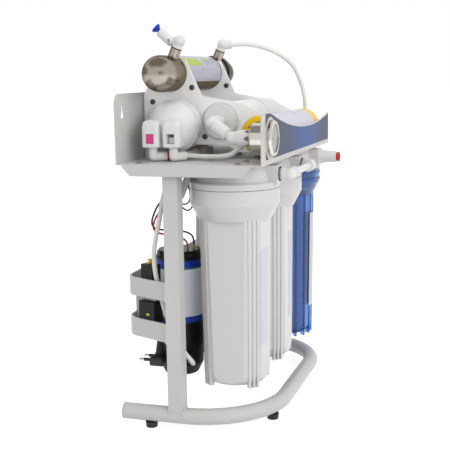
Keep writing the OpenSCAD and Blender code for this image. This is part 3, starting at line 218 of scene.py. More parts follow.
def finish_tree(tree, given, instances):
    """Ends a tree with plain meshes in the given material."""
    whole = add(tree, "GeometryNodeRealizeInstances", {0: instances})
    painted = add(tree, "GeometryNodeSetMaterial",
                  {"Geometry": whole.outputs[0], "Material": given.outputs["Material"]})
    add(tree, "NodeGroupOutput", {0: painted.outputs[0]})


def link(name, mesh, body):
    """Puts a finished mesh in the scene as a piece of the part."""
    made = bpy.data.objects.new(name, mesh)
    scene.collection.objects.link(made)
    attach(made, body)
    return made


def plain_mesh(made):
    """The mesh of an object with its modifiers worked in."""
    graph = bpy.context.evaluated_depsgraph_get()
    return bpy.data.meshes.new_from_object(made.evaluated_get(graph), depsgraph=graph)


def grown(name, tree, points, edges, material, slot, body="frame", soft=False, **sizes):
    """Runs a tree on points and edges, and keeps the result as a plain mesh."""
    seed = bpy.data.meshes.new(name + "_seed")
    seed.from_pydata(points, edges, [])
    holder = bpy.data.objects.new(name + "_seed", seed)
    scene.collection.objects.link(holder)
    modifier = holder.modifiers.new("grow", "NODES")
    modifier.node_group = tree
    for socket in tree.interface.items_tree:
        key = socket.name.replace(" ", "_")
        if socket.in_out == "INPUT" and key in sizes:
            modifier[socket.identifier] = sizes[key]
        elif socket.in_out == "INPUT" and key == "Material":
            modifier[socket.identifier] = material
    mesh = plain_mesh(holder)
    mesh.name = name
    bpy.data.objects.remove(holder)
    if soft:
        mesh.shade_smooth()
    else:
        mesh.shade_flat()
    return link(name, mesh, body)


weld_run, given = geometry_tree("weld_run", Bead_spacing="Float", Bead_radius="Float")
line = add(weld_run, "GeometryNodeMeshToCurve", {0: given.outputs["Geometry"]})
spaced = add(weld_run, "GeometryNodeResampleCurve",
             {"Curve": line.outputs[0], "Length": given.outputs["Bead spacing"]}, mode="LENGTH")
bead = add(weld_run, "GeometryNodeMeshIcoSphere", {"Radius": given.outputs["Bead radius"], "Subdivisions": 2})
beads = add(weld_run, "GeometryNodeInstanceOnPoints",
            {"Points": spaced.outputs[0], "Instance": bead.outputs[0]})
finish_tree(weld_run, given, beads.outputs[0])
# Runs of weld: over the tube along the front and back of each post's foot, and up each strap's end
post_x, post_y, post_half, weld_face = 190, 66, 10, 10.4
tube_z, weld_r_squared = 19, 121.5
strap_heights, strap_half, strap_weld_x = (132, 188), 12, 199.2
weld_lines = []
for side in (-1, 1):
    for face in (-weld_face, weld_face):
        weld_lines.append([at(side * post_x + x, post_y + face, tube_z + math.sqrt(weld_r_squared - x * x))
                           for x in range(-post_half, post_half + 1)])
    for z in strap_heights:
        weld_lines.append([at(side * strap_weld_x, post_y + weld_face, z + rise)
                           for rise in range(-strap_half, strap_half + 1, 2)])
weld_points, weld_edges = [], []
for run in weld_lines:
    weld_edges += [(len(weld_points) + i, len(weld_points) + i + 1) for i in range(len(run) - 1)]
    weld_points += run
grown("stand_welds", weld_run, weld_points, weld_edges, powder, "white_paint", soft=True,
      Bead_spacing=0.0016, Bead_radius=0.0015)

# Tube end plugs and feet: polyethylene plugs pushed into the cut tube ends, and
# moulded rubber feet on studs under the base, dusty from the floor.
# Moulded polyethylene: waxy light grey with a soft sheen
plug_grey = skin("polyethylene, moulded", "#bdbdba", "#b2b2af", (0.42, 0.55), 1.5, 0.04)
dress(plug_grey, "tube_end_plugs")
# Press-moulded rubber: dull black, greyed in places by dust
foot_rubber = skin("black rubber, press moulded", "#1d1d1f", "#2a2a2b", (0.62, 0.8), 1.2, 0.08, drift=12)
dress(foot_rubber, "rubber_feet")


# Tray: one sheet of steel folded up at the back and front, coated with the stand, with a
# printed film stuck on the scooped front panel and a bare ring left for the gauge.
def closed_up(mesh, gap):
    """Merges points that lie within gap metres, and turns all faces outwards."""
    work = bmesh.new()
    work.from_mesh(mesh)
    bmesh.ops.remove_doubles(work, verts=work.verts, dist=gap)
    bmesh.ops.recalc_face_normals(work, faces=work.faces)
    work.to_mesh(mesh)
    work.free()


def shaped(name, points, faces, material, body="frame", sharp=35, edge=0):
    """A plain mesh piece, creased past sharp degrees; edge rounds its corners by that many metres."""
    mesh = bpy.data.meshes.new(name)
    mesh.from_pydata(points, [], faces)
    closed_up(mesh, 2e-6)
    mesh.shade_smooth()
    mesh.set_sharp_from_angle(angle=math.radians(sharp))
    mesh.materials.append(material)
    made = link(name, mesh, body)
    if edge:
        rounding = made.modifiers.new("rounding", "BEVEL")
        rounding.width = edge
        rounding.segments = 3
        rounding.angle_limit = math.radians(40)
    return made


def film(name, front, back, material, slot, body="frame"):
    """A thin closed film between two grids of points."""
    high, wide = len(front), len(front[0])
    points = [p for grid in (front, back) for row in grid for p in row]

    def spot(i, j, side):
        return (side * high + i) * wide + j

    faces = [(spot(i, j, s), spot(i + 1, j, s), spot(i + 1, j + 1, s), spot(i, j + 1, s))
             for s in (0, 1) for i in range(high - 1) for j in range(wide - 1)]
    faces += [(spot(i, j, 0), spot(i + 1, j, 0), spot(i + 1, j, 1), spot(i, j, 1))
              for i in range(high - 1) for j in (0, wide - 1)]
    faces += [(spot(i, j, 0), spot(i, j + 1, 0), spot(i, j + 1, 1), spot(i, j, 1))
              for i in (0, high - 1) for j in range(wide - 1)]
    shaped(name, points, faces, material, body)


# Printed polyester: soft gloss laminate over a wash of slate that turns blue along the panel
wash_from, wash_to, wash_sway = -0.160, 0.240, 0.06
front_film, tree, shader, place = material_of("polyester film, printed and laminated", Roughness=0.42,
                                              Specular_IOR_Level=0.15)
across = add(tree, "ShaderNodeSeparateXYZ", {0: place})
cloud = add(tree, "ShaderNodeTexNoise", {"Vector": place, "Scale": 1000 / 60, "Detail": 3.0})
sway = add(tree, "ShaderNodeMath", {0: cloud.outputs[0], 1: wash_sway, 2: across.outputs["X"]},
           operation="MULTIPLY_ADD")
share = add(tree, "ShaderNodeMapRange", {"Value": sway.outputs[0], "From Min": wash_from, "From Max": wash_to})
wash = add(tree, "ShaderNodeValToRGB", {0: share.outputs[0]})
wash.color_ramp.elements[0].color = linear("#3e4254")
wash.color_ramp.elements[1].color = linear("#4a4e55")
for stop, code in ((0.3, "#3b4563"), (0.55, "#2c4f94"), (0.74, "#39528c"), (0.88, "#40465e")):
    wash.color_ramp.elements.new(stop).color = linear(code)
tree.links.new(wash.outputs[0], shader.inputs["Base Color"])
ripple = add(tree, "ShaderNodeTexNoise", {"Vector": place, "Scale": 1000 / 18, "Detail": 1.0})
height = add(tree, "ShaderNodeBump", {"Height": ripple.outputs[0], "Distance": 0.00008})
tree.links.new(height.outputs[0], shader.inputs["Normal"])
panel_y = -59
film_left, film_length, film_foot, film_top = -190, 397, 362, 419.5
scoop_x, scoop_z, scoop_r = 60, 1311.5, 920
film_x = [film_left + film_length * i / 60 for i in range(61)]
film_edge = [min(film_top, scoop_z - math.sqrt(scoop_r ** 2 - (x - scoop_x) ** 2)) for x in film_x]
film_grids = [[[at(x, y, film_foot + (top - film_foot) * k / 4) for x, top in zip(film_x, film_edge)]
               for k in range(5)] for y in (panel_y - 0.25, panel_y + 0.02)]
film("front_film", *film_grids, front_film, "white_paint")


def facing(origin, direction):
    """The place of a piece made along its own Z: its origin, and where that Z points."""
    return Matrix.Translation(origin) @ Vector(direction).to_track_quat("Z", "Y").to_matrix().to_4x4()


def lathe(profile, sides):
    """The points in metres and the faces of a profile of (radius, height) mm turned about Z."""
    points = [Vector((r * math.cos(a), r * math.sin(a), h)) / 1000
              for a in (2 * math.pi * s / sides for s in range(sides)) for r, h in profile]
    count = len(profile)
    faces = [(s * count + k, s * count + k + 1, (s + 1) % sides * count + k + 1, (s + 1) % sides * count + k)
             for s in range(sides) for k in range(count - 1)]
    return points, faces


def turned(name, profile, place, material, body="frame", sides=48, sharp=35):
    """A piece turned about its own Z, then placed."""
    points, faces = lathe(profile, sides)
    return shaped(name, [place @ p for p in points], faces, material, body, sharp)


gauge_x, gauge_z = -167, 388
turned("gauge_surround", [(20.5, 0.1), (20.5, 0.42), (27, 0.42), (27.3, 0.1), (20.5, 0.1)],
       facing(at(gauge_x, panel_y, gauge_z), (0, -1, 0)), powder, sides=72)

# Tray screws: zinc plated pan heads with a cross recess, turned down through the tray
# floor into each cap, and through its ends into the rails.
# Zinc plate: a thin grey shine, a little blotched
zinc = skin("steel, zinc plated", "#b9bab8", "#a3a6a8", (0.26, 0.40), 1.0, 0.02, drift=6, Metallic=1.0)
screw_heads, given = geometry_tree("screw_heads", Head="Object", Turn="Vector", Size="Float")
shape = add(screw_heads, "GeometryNodeObjectInfo", {"Object": given.outputs["Head"]})
turn = add(screw_heads, "FunctionNodeEulerToRotation", {0: given.outputs["Turn"]})
heads = add(screw_heads, "GeometryNodeInstanceOnPoints",
            {"Points": given.outputs["Geometry"], "Instance": shape.outputs["Geometry"],
             "Rotation": turn.outputs[0], "Scale": given.outputs["Size"]})
finish_tree(screw_heads, given, heads.outputs[0])


def ring_faces(rings, sides, closed=True):
    """The faces between rings of points that each have this many sides, and the two ends if closed."""
    faces = [(r * sides + s, r * sides + (s + 1) % sides,
              (r + 1) * sides + (s + 1) % sides, (r + 1) * sides + s)
             for r in range(rings - 1) for s in range(sides)]
    if closed:
        faces += [tuple(range(sides)), tuple(range((rings - 1) * sides, rings * sides))]
    return faces


def pattern_piece(name, points, faces):
    """A shape for a tree to copy, which is removed once its copies are made."""
    mesh = bpy.data.meshes.new(name)
    mesh.from_pydata(points, [], faces)
    closed_up(mesh, 1e-7)
    made = bpy.data.objects.new(name, mesh)
    scene.collection.objects.link(made)
    return made


# One head of 1 mm radius about its own Z: the rings of its dome with a cross cut in, then its skirt
dome_rings, head_sides, crown_h, dome_drop = 8, 32, 0.62, 0.36
cross_rings, cross_depth, skirt_heights = 4, 0.26, (0.14, -0.02)
head_rings, quarter = dome_rings + len(skirt_heights), head_sides // 4
head_points = []
for ring in range(head_rings):
    r = min(ring, dome_rings - 1) / (dome_rings - 1)
    z = crown_h - dome_drop * r * r if ring < dome_rings else skirt_heights[ring - dome_rings]
    for s in range(head_sides):
        angle = 2 * math.pi * s / head_sides
        off_arm = abs((s + quarter // 2) % quarter - quarter // 2)
        cut = cross_depth if ring <= cross_rings and off_arm <= 1 else 0
        head_points.append(Vector((r * math.cos(angle), r * math.sin(angle), z - cut)) / 1000)
head_foot = tuple(range((head_rings - 1) * head_sides, head_rings * head_sides))
pan_head = pattern_piece("pan_head", head_points,
                         ring_faces(head_rings, head_sides, closed=False) + [head_foot])
housing_pitch, cap_screw_x, cap_screw_y = 130, 28, 24
rail_screw_x, rail_screw_back, tray_floor = 197, 108, 357
spots = [(housing_pitch * i + dx, dy) for i in (-1, 0, 1) for dx in (-cap_screw_x, cap_screw_x)
         for dy in (-cap_screw_y, cap_screw_y)]
spots += [(side * rail_screw_x, y) for side in (-1, 1) for y in (-cap_screw_y, rail_screw_back)]
screws = grown("tray_screw_heads", screw_heads, [at(x, y, tray_floor) for x, y in spots], [], zinc,
               "zinc_steel", Head=pan_head, Turn=(0, 0, 0.4), Size=4.6)
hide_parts("tray_screws")

# Filter housings: caps and sumps are injection moulded in thick white polypropylene, the
# third sump in clear blue. A rubber ring seals each, and each sump carries a ruled paper strip.
# Injection-moulded polypropylene: smooth milky white with a low, even gloss
moulded = skin("polypropylene, injection moulded", "#d5d4d2", "#d0cfcd", (0.25, 0.27), 3.0, 0.012, 160)
dress(moulded, "cap_1", "cap_2", "cap_3", "sump_1", "sump_2")
# Ring-moulded rubber: near black, satin
seal_rubber = skin("black rubber, ring moulded", "#161617", "#242425", (0.45, 0.6), 0.8, 0.03, drift=10)
dress(seal_rubber, "head_o_rings")
# Painted shade: a thin black rubber ring at the seam under each cap stands for the shade in the gap between
# cap and sump
housings = [(number, (number - 2) * housing_pitch) for number in (1, 2, 3)]
seal_z = 321.5
for number, axis_x in housings:
    turned(f"cap_seal_{number}", [(58, -0.3), (60.06, -0.3), (60.06, 0.3), (58, 0.3), (58, -0.3)],
           Matrix.Translation(at(axis_x, 0, seal_z)), seal_rubber, sides=96)
# Clear styrene: gloss, tinted through its wall, with faint flow lines down its height
sump_foot, sump_shoulder = 56, 280.5
foot_r, shoulder_r = 45.5, 49
clear_blue, tree, shader, place = material_of("clear styrene, tinted and moulded", Roughness=0.08, IOR=1.57,
                                              Specular_IOR_Level=0.2, Transmission_Weight=0.82)
flow = add(tree, "ShaderNodeMapping", {"Vector": place, "Scale": (1000 / 9, 1000 / 9, 1000 / 90)})
streak = add(tree, "ShaderNodeTexNoise", {"Vector": flow.outputs[0], "Scale": 1.0, "Detail": 2.0})
tint = add(tree, "ShaderNodeMix", {0: streak.outputs[0], 6: linear("#5a94de"), 7: linear("#508ad4")},
           data_type="RGBA")
# Its ribs are thicker plastic, so up to the shoulder they read as darker bars between paler wall
rib_starts, rib_full, bars_fade, bars_end = 0.1, 0.9, 281, 286
clear_axis = at(housing_pitch, 0, 0)
spoke = add(tree, "ShaderNodeMapping", {"Vector": place, "Location": -clear_axis, "Scale": (1, 1, 0)})
from_axis = add(tree, "ShaderNodeVectorMath", {0: spoke.outputs[0]}, operation="LENGTH")
along = add(tree, "ShaderNodeSeparateXYZ", {0: place})
wall = add(tree, "ShaderNodeMapRange", {"Value": along.outputs["Z"], "From Min": sump_foot / 1000,
                                        "From Max": sump_shoulder / 1000, "To Min": foot_r / 1000,
                                        "To Max": shoulder_r / 1000})
proud = add(tree, "ShaderNodeMath", {0: from_axis.outputs["Value"], 1: wall.outputs[0]}, operation="SUBTRACT")
rib = add(tree, "ShaderNodeMapRange", {"Value": proud.outputs[0], "From Min": rib_starts / 1000,
                                       "From Max": rib_full / 1000})
below = add(tree, "ShaderNodeMapRange", {"Value": along.outputs["Z"], "From Min": bars_fade / 1000,
                                         "From Max": bars_end / 1000, "To Min": 1.0, "To Max": 0.0})
bars = add(tree, "ShaderNodeMath", {0: rib.outputs[0], 1: below.outputs[0]}, operation="MULTIPLY")
barred = add(tree, "ShaderNodeMix", {0: bars.outputs[0], 6: tint.outputs[2], 7: linear("#1f4c98")},
             data_type="RGBA")
tree.links.new(barred.outputs[2], shader.inputs["Base Color"])
height = add(tree, "ShaderNodeBump", {"Height": streak.outputs[0], "Distance": 0.00006})
tree.links.new(height.outputs[0], shader.inputs["Normal"])
dress(clear_blue, "sump_3")
# Two moulded beads run round the clear collar and catch the light
bead_profile = [(59.4, -2.2), (60.5, -1.8), (61.2, -0.9), (61.4, 0), (61.2, 0.9), (60.5, 1.8), (59.4, 2.2),
                (59.4, -2.2)]
for name, bead_z in (("upper", 315.5), ("lower", 305.5)):
    turned(f"collar_bead_{name}", bead_profile, Matrix.Translation(at(housing_pitch, 0, bead_z)), clear_blue,
           "sump_3", sides=96, sharp=60)
# Pressed carbon: grainy dull black
pressed_carbon = skin("activated carbon, pressed", "#2a2a2b", "#1c1c1d", (0.75, 0.9), 0.9, 0.25, drift=9)
dress(pressed_carbon, "block_filter")
# Extruded tube round the carbon grains: plain off-white with a soft sheen
tube_plastic = skin("polypropylene tube, extruded", "#e2e1dd", "#dadad5", (0.34, 0.44), 2.0, 0.03)
dress(tube_plastic, "carbon_filter")
# Melt-spun fibre wound on a core: chalky white, finely ringed, with no gloss
spun, tree, shader, place = material_of("polypropylene fibre, melt spun", Roughness=0.92, Sheen_Weight=0.2)
wound = add(tree, "ShaderNodeMapping", {"Vector": place, "Scale": (1000 / 6, 1000 / 6, 1000 / 1.6)})
fibre = add(tree, "ShaderNodeTexNoise", {"Vector": wound.outputs[0], "Scale": 1.0, "Detail": 4.0})
tone = add(tree, "ShaderNodeMix", {0: fibre.outputs[0], 6: linear("#f1f0ea"), 7: linear("#dfded6")},
           data_type="RGBA")
tree.links.new(tone.outputs[2], shader.inputs["Base Color"])
height = add(tree, "ShaderNodeBump", {"Height": fibre.outputs[0], "Distance": 0.0004})
tree.links.new(height.outputs[0], shader.inputs["Normal"])
dress(spun, "sediment_filter")
# Laminated paper: pale lavender with thin grey rules across it, under a soft gloss
rule_pitch, rule_share = 5, 0.3
paper_strip, tree, shader, place = material_of("paper label, laminated", Roughness=0.34)
lines = add(tree, "ShaderNodeSeparateXYZ", {0: place})
step = add(tree, "ShaderNodeMath", {0: lines.outputs["Z"], 1: 1000 / rule_pitch}, operation="MULTIPLY")
within = add(tree, "ShaderNodeMath", {0: step.outputs[0]}, operation="FRACT")
rule = add(tree, "ShaderNodeMath", {0: within.outputs[0], 1: rule_share}, operation="LESS_THAN")
fibres = add(tree, "ShaderNodeTexNoise", {"Vector": place, "Scale": 1000 / 5, "Detail": 3.0})
stock = add(tree, "ShaderNodeMix", {0: fibres.outputs[0], 6: linear("#d0d0dd"), 7: linear("#c6c6d6")},
            data_type="RGBA")
printed = add(tree, "ShaderNodeMix", {0: rule.outputs[0], 6: stock.outputs[2], 7: linear("#bcbdce")},
              data_type="RGBA")
tree.links.new(printed.outputs[2], shader.inputs["Base Color"])
height = add(tree, "ShaderNodeBump", {"Height": fibres.outputs[0], "Distance": 0.00004})
tree.links.new(height.outputs[0], shader.inputs["Normal"])
foot_panel, shoulder_panel, over_ribs = 40.5, 42, 1.3


def strip_on_sump(number, left, right, foot, top, ribbed=False):
    """A strip laid over a sump's front: on its flat panel and round past that, or over its ribs."""
    axis_x = (number - 2) * housing_pitch
    grids = []
    for proud in (0.3, -0.25):
        grid = []
        for z in (foot + (top - foot) * k / 8 for k in range(9)):
            share = (z - sump_foot) / (sump_shoulder - sump_foot)
            outer_r = foot_r + (shoulder_r - foot_r) * share + (over_ribs if ribbed else 0)
            panel = foot_panel + (shoulder_panel - foot_panel) * share
            row = []
            for dx in (left + (right - left) * i / 24 for i in range(25)):
                depth = math.sqrt(outer_r ** 2 - dx * dx)
                row.append(at(axis_x + dx, -(depth if ribbed else min(depth, panel)) - proud, z))
            grid.append(row)
        grids.append(grid)
    film(f"label_sump_{number}", *grids, paper_strip, "filter_wrap", f"sump_{number}")


strip_on_sump(1, -30, 11, 111, 240)
strip_on_sump(2, 1, 40, 113, 240)
strip_on_sump(3, -13, 26, 102, 252, ribbed=True)

# Ports: acetal push-in elbows screwed into the caps, with polyethylene tube between them, and
# the cone-shaped inlet fitting with its red release collet at the far end.
# Moulded acetal: dense white with a soft, smooth gloss
acetal = skin("acetal, injection moulded", "#e3e3e0", "#dedddb", (0.31, 0.34), 3.0, 0.015, 120)
dress(acetal, "port_elbows", "inlet_fitting")
# Extruded polyethylene: white and a little waxy
tube_white = skin("polyethylene tube, extruded", "#e9e8e5", "#e4e3e0", (0.35, 0.38), 3.0, 0.015, 120,
                  Subsurface_Weight=0.1, Subsurface_Radius=(0.003, 0.003, 0.003))
dress(tube_white, "jumper_tubes")
# Painted shade: a thin ring in black rubber between each front boss and its fitting stands for the shade in
# the gap there
boss_y, port_z = -62, 339.5
for number, axis_x in housings:
    turned(f"port_ring_{number}", [(6.5, 0.05), (9.4, 0.05), (9.7, 0.5), (9.3, 1.1), (6.5, 1.1), (6.5, 0.05)],
           facing(at(axis_x, boss_y, port_z), (0, -1, 0)), seal_rubber)
# Acetal dyed red: bright and even, with a soft gloss
red_collet = skin("acetal, moulded red", "#d8222f", "#c01a28", (0.28, 0.4), 1.5, 0.03, drift=10)
dress(red_collet, "inlet_collet")

# Membrane: a moulded gloss housing with a screw cap whose two columns take the small elbows.
# The wound element is inside, a red release ring and a pink locking clip hold the tubes.
# Gloss-moulded polypropylene: clean white with sharp highlights
gloss_white = skin("polypropylene, gloss moulded", "#e3e4e4", "#dcdddd", (0.14, 0.18), 4.0, 0.02,
                   Subsurface_Weight=0.06, Subsurface_Radius=(0.004, 0.003, 0.003))
dress(gloss_white, "membrane_housing", "membrane_cap", "inline_filter")
# Tape over the wound membrane: pale blue-grey, faintly rippled
tape = skin("polypropylene tape over membrane", "#c3cbd8", "#b4bdcc", (0.3, 0.45), 3.0, 0.05)
dress(tape, "membrane_element")
dress(acetal, "tray_elbows", "uv_elbows", "gauge_adapter")
# Each column is boxed in to a soft-cornered block with a square window for its clip
column_x, block_sides, corner_power = -167, 40, 0.36
block_rings = ((376.3, 11.6), (377, 12.1), (398, 12.1), (404, 11.9), (408, 11), (410.4, 9), (411.7, 5.5))
window_half, window_low, window_high, window_from, window_to = 5.6, 380.8, 393.8, -190, -160.5
window = bpy.data.objects.new("clip_window", bpy.data.meshes.new("clip_window"))
scene.collection.objects.link(window)


def soft_corner(share):
    """A share of a circle's width pushed out towards the square round it."""
    return math.copysign(abs(share) ** corner_power, share)


for number, y in ((1, 100), (2, 71.5)):
    window_points = [at(x, y + w, z) for x in (window_from, window_to)
                     for w, z in ((-window_half, window_low), (window_half, window_low),
                                  (window_half, window_high), (-window_half, window_high))]
    window.data.clear_geometry()
    window.data.from_pydata(window_points, [], [(3, 2, 1, 0), (4, 5, 6, 7)] + ring_faces(2, 4, closed=False))
    block_points = [at(column_x + half * soft_corner(math.cos(a)), y + half * soft_corner(math.sin(a)), z)
                    for z, half in block_rings
                    for a in (2 * math.pi * (s + 0.5) / block_sides for s in range(block_sides))]
    block = shaped(f"column_block_{number}", block_points, ring_faces(len(block_rings), block_sides),
                   gloss_white)
    cutting = block.modifiers.new("window", "BOOLEAN")
    cutting.object = window
    block.data = plain_mesh(block)
    block.modifiers.remove(cutting)
bpy.data.objects.remove(window)
# Acetal dyed pink: strong and even, with a soft gloss
clip_pink = skin("acetal, moulded pink", "#e0408c", "#cc3479", (0.28, 0.4), 1.5, 0.03, drift=8)
dress(clip_pink, "locking_clip")
turned("column_release_ring", [(3.35, -1), (5.2, -1), (5.2, 1.6), (4.4, 2.4), (3.35, 2.4), (3.35, -1)],
       facing(at(-158, 84.4, 363.7), (0.5, -0.866, 0)), red_collet, sides=36)

# Ultraviolet chamber: thin stainless tube with a spun dome, welded and polished. Rubber
# rings seal its stubs and a rubber boot closes the lamp end; a printed film is wrapped on it.
# Polished steel: a warm, soft mirror. Belts ran round the tube, and their streaks are drawn
# 1.5 mm wide, which is coarse, so that they show
chamber_y, chamber_z, chamber_r = 93, 471, 24
steel, tree, shader, place = material_of("stainless steel, polished", Metallic=1.0,
                                         Specular_Tint=linear("#a09990"))
belt = add(tree, "ShaderNodeMapping", {"Vector": place, "Scale": (1000 / 1.5, 1000 / 40, 1000 / 40)})
scratch = add(tree, "ShaderNodeTexNoise", {"Vector": belt.outputs[0], "Scale": 1.0, "Detail": 3.0})
tone = add(tree, "ShaderNodeMix", {0: scratch.outputs[0], 6: linear("#aca49a"), 7: linear("#a0988e")},
           data_type="RGBA")
tree.links.new(tone.outputs[2], shader.inputs["Base Color"])
gloss = add(tree, "ShaderNodeMapRange", {"Value": scratch.outputs[0], "From Min": noise_low,
                                         "From Max": noise_high, "To Min": 0.23, "To Max": 0.27})
tree.links.new(gloss.outputs[0], shader.inputs["Roughness"])
height = add(tree, "ShaderNodeBump", {"Height": scratch.outputs[0], "Distance": 0.00002})
tree.links.new(height.outputs[0], shader.inputs["Normal"])
dress(steel, "uv_chamber")
stub_lean, stub_reach = math.radians(24), 35.6
stub_y, stub_z = -math.sin(stub_lean), math.cos(stub_lean)
for name, x in (("near", -128), ("far", 64)):
    stub_top = at(x, chamber_y + stub_reach * stub_y, chamber_z + stub_reach * stub_z)
    turned(f"stub_seal_{name}", [(6.9, -0.9), (7.6, -0.5), (7.6, 0.5), (6.9, 0.9), (6.9, -0.9)],
           facing(stub_top, (0, stub_y, stub_z)), seal_rubber)
# Dip-moulded rubber: soft charcoal with a satin skin
boot_rubber = skin("black rubber, dip moulded", "#232325", "#2f2f31", (0.42, 0.55), 1.5, 0.06, drift=16)
dress(boot_rubber, "uv_boot")
# Drawn quartz: clear, with faint draw lines along it
quartz, tree, shader, place = material_of("quartz, drawn clear", Transmission_Weight=1.0, IOR=1.46)
drawn = add(tree, "ShaderNodeMapping", {"Vector": place, "Scale": (1000 / 80, 1000 / 4, 1000 / 4)})
draw_line = add(tree, "ShaderNodeTexNoise", {"Vector": drawn.outputs[0], "Scale": 1.0})
haze = add(tree, "ShaderNodeMapRange", {"Value": draw_line.outputs[0], "To Min": 0.02, "To Max": 0.08})
tree.links.new(haze.outputs[0], shader.inputs["Roughness"])
dress(quartz, "uv_sleeve", "gauge_glass")
# Etched lamp glass: milky white, softly shiny
lamp_glass = skin("lamp glass, etched", "#e9edf0", "#dfe4e8", (0.2, 0.3), 2.0, 0.02)
dress(lamp_glass, "uv_lamp")
# Polyethylene dyed blue: deep and even, with little gloss
plug_blue = skin("polyethylene, moulded blue", "#0f48c0", "#0c3fa8", (0.26, 0.36), 1.5, 0.03, drift=9,
                 Specular_IOR_Level=0.3)
dress(plug_blue, "outlet_plug")


def wrap_on_chamber(name, x0, x1, low, high, proud, material):
    """A film round the chamber from x0 to x1, between two angles above its front."""
    angles = [math.radians(low + (high - low) * k / 24) for k in range(25)]
    grids = [[[at(x0 + (x1 - x0) * i / 12, chamber_y - r * math.cos(a), chamber_z + r * math.sin(a))
               for i in range(13)] for a in angles] for r in (chamber_r + proud, chamber_r - 0.05)]
    film(name, *grids, material, "filter_wrap")


# Printed polyester film: lilac grey, with lime patches and darker rules, under one soft gloss
wrap_film = skin("polyester film, printed pale", "#b4b5c0", "#adaeba", (0.26, 0.36), 8.0, 0.04)
lime_ink = skin("polyester film, printed lime", "#a9bf2b", "#9fb522", (0.28, 0.38), 6.0, 0.03, drift=20)
rule_ink = skin("polyester film, printed grey", "#a9abbd", "#a0a2b5", (0.3, 0.4), 6.0, 0.03, drift=20)
film_h, ink_h, rule_angle = 0.2, 0.3, 1.8
wrap_on_chamber("chamber_film", -112, 37, -28, 104, film_h, wrap_film)
wrap_on_chamber("chamber_film_lime", -110, -46, 26, 58, ink_h, lime_ink)
wrap_on_chamber("chamber_film_lime_small", -28, -4, 46, 58, ink_h, lime_ink)
for number, (x0, x1, angle) in enumerate(((-28, 30, 36), (-28, 30, 28), (-108, 22, 16), (-108, 30, 8),
                                          (-108, 24, 0), (-108, 30, -8), (-108, 10, -16))):
    wrap_on_chamber(f"chamber_film_rule_{number}", x0, x1, angle, angle + rule_angle, ink_h, rule_ink)

# Support plates: sheets cut to clip round the tubes, with screws that hold their halves,
# dark pan heads on the near side and hexagon nuts on the far one.
# Cut polyethylene sheet: bright milky white, smooth
sheet_white = skin("polyethylene sheet, cut", "#f8f8f6", "#f2f2f0", (0.3, 0.36), 2.5, 0.03, 120)
dress(sheet_white, "near_plate", "far_plate")
# Blackened steel: dark grey with a dull metal glint
black_zinc = skin("steel, blackened", "#6d6e70", "#595a5c", (0.34, 0.46), 1.0, 0.02, drift=5, Metallic=1.0)
plate_spots = [(118.5, 433.5), (61.7, 452), (44.6, 386.5)]
plate_fronts, plate_backs = (-117, 39.5), (-114, 42.5)
head_places = [at(x, y, z) for x in plate_fronts for y, z in plate_spots]
heads = grown("plate_screw_heads", screw_heads, head_places, [], black_zinc, "black_paint",
              Head=pan_head, Turn=(0, -math.pi / 2, 0), Size=3.6)
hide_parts("plate_screws")
bpy.data.objects.remove(pan_head)
nut_profile = [(0, 0), (3.8, 0), (3.8, 2.6), (3.4, 3), (2, 3), (2, 3.8), (1.6, 4.1), (0, 4.1)]
hex_nut = pattern_piece("hex_nut", *lathe(nut_profile, 6))
nut_places = [at(x, y, z) for x in plate_backs for y, z in plate_spots]
nuts = grown("plate_nuts", screw_heads, nut_places, [], black_zinc, "black_paint",
             Head=hex_nut, Turn=(0, math.pi / 2, 0), Size=1.0)
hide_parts("plate_screws")
bpy.data.objects.remove(hex_nut)

# Post filter: a capped plastic tube in a pale paper wrap, with yellow caps pressed on both
# ends; each cap has a ring of moulded pockets in its end wall that sit in shade.
# Coated paper: pale lilac, almost matt
wrap = skin("paper wrap, coated", "#d6d5e0", "#cccbd8", (0.4, 0.52), 6.0, 0.05)
dress(wrap, "post_filter")
# Styrene dyed yellow: warm and even, with a low gloss
cap_yellow = skin("styrene, moulded yellow", "#f0c600", "#ebc000", (0.27, 0.3), 3.0, 0.015, 120,
                  Specular_IOR_Level=0.3)
dress(cap_yellow, "post_filter_caps")
# Painted shade: thin dark brown bars on each cap's end wall, in the same styrene, stand for the shade down in
# its moulded pockets
slot_shade = skin("styrene, slot in shade", "#4a3a0c", "#3a2d08", (0.5, 0.65), 2.0, 0.03, drift=8)
ring_of_bars, given = geometry_tree("ring_of_bars", Count="Int", Radius="Float", Bar="Vector", Turn="Vector")
circle = add(ring_of_bars, "GeometryNodeMeshCircle",
             {"Vertices": given.outputs["Count"], "Radius": given.outputs["Radius"]})
bar = add(ring_of_bars, "GeometryNodeMeshCube", {"Size": given.outputs["Bar"]})
outward = add(ring_of_bars, "GeometryNodeInputPosition")
spin = add(ring_of_bars, "FunctionNodeAlignRotationToVector", {"Vector": outward.outputs[0]}, axis="Y",
           pivot_axis="Z")
ring = add(ring_of_bars, "GeometryNodeInstanceOnPoints",
           {"Points": circle.outputs[0], "Instance": bar.outputs[0], "Rotation": spin.outputs[0]})
joined = add(ring_of_bars, "GeometryNodeRealizeInstances", {0: ring.outputs[0]})
turn = add(ring_of_bars, "FunctionNodeEulerToRotation", {0: given.outputs["Turn"]})
rings = add(ring_of_bars, "GeometryNodeInstanceOnPoints",
            {"Points": given.outputs["Geometry"], "Instance": joined.outputs[0], "Rotation": turn.outputs[0]})
finish_tree(ring_of_bars, given, rings.outputs[0])
filter_y, filter_z, cap_ends = -31.5, 389, (-122, 150)
grown("yellow_cap_slots", ring_of_bars, [at(x, filter_y, filter_z) for x in cap_ends], [], slot_shade,
      "yellow_plastic", Count=8, Radius=0.0135, Bar=(0.006, 0.007, 0.0007), Turn=(0, math.pi / 2, 0))

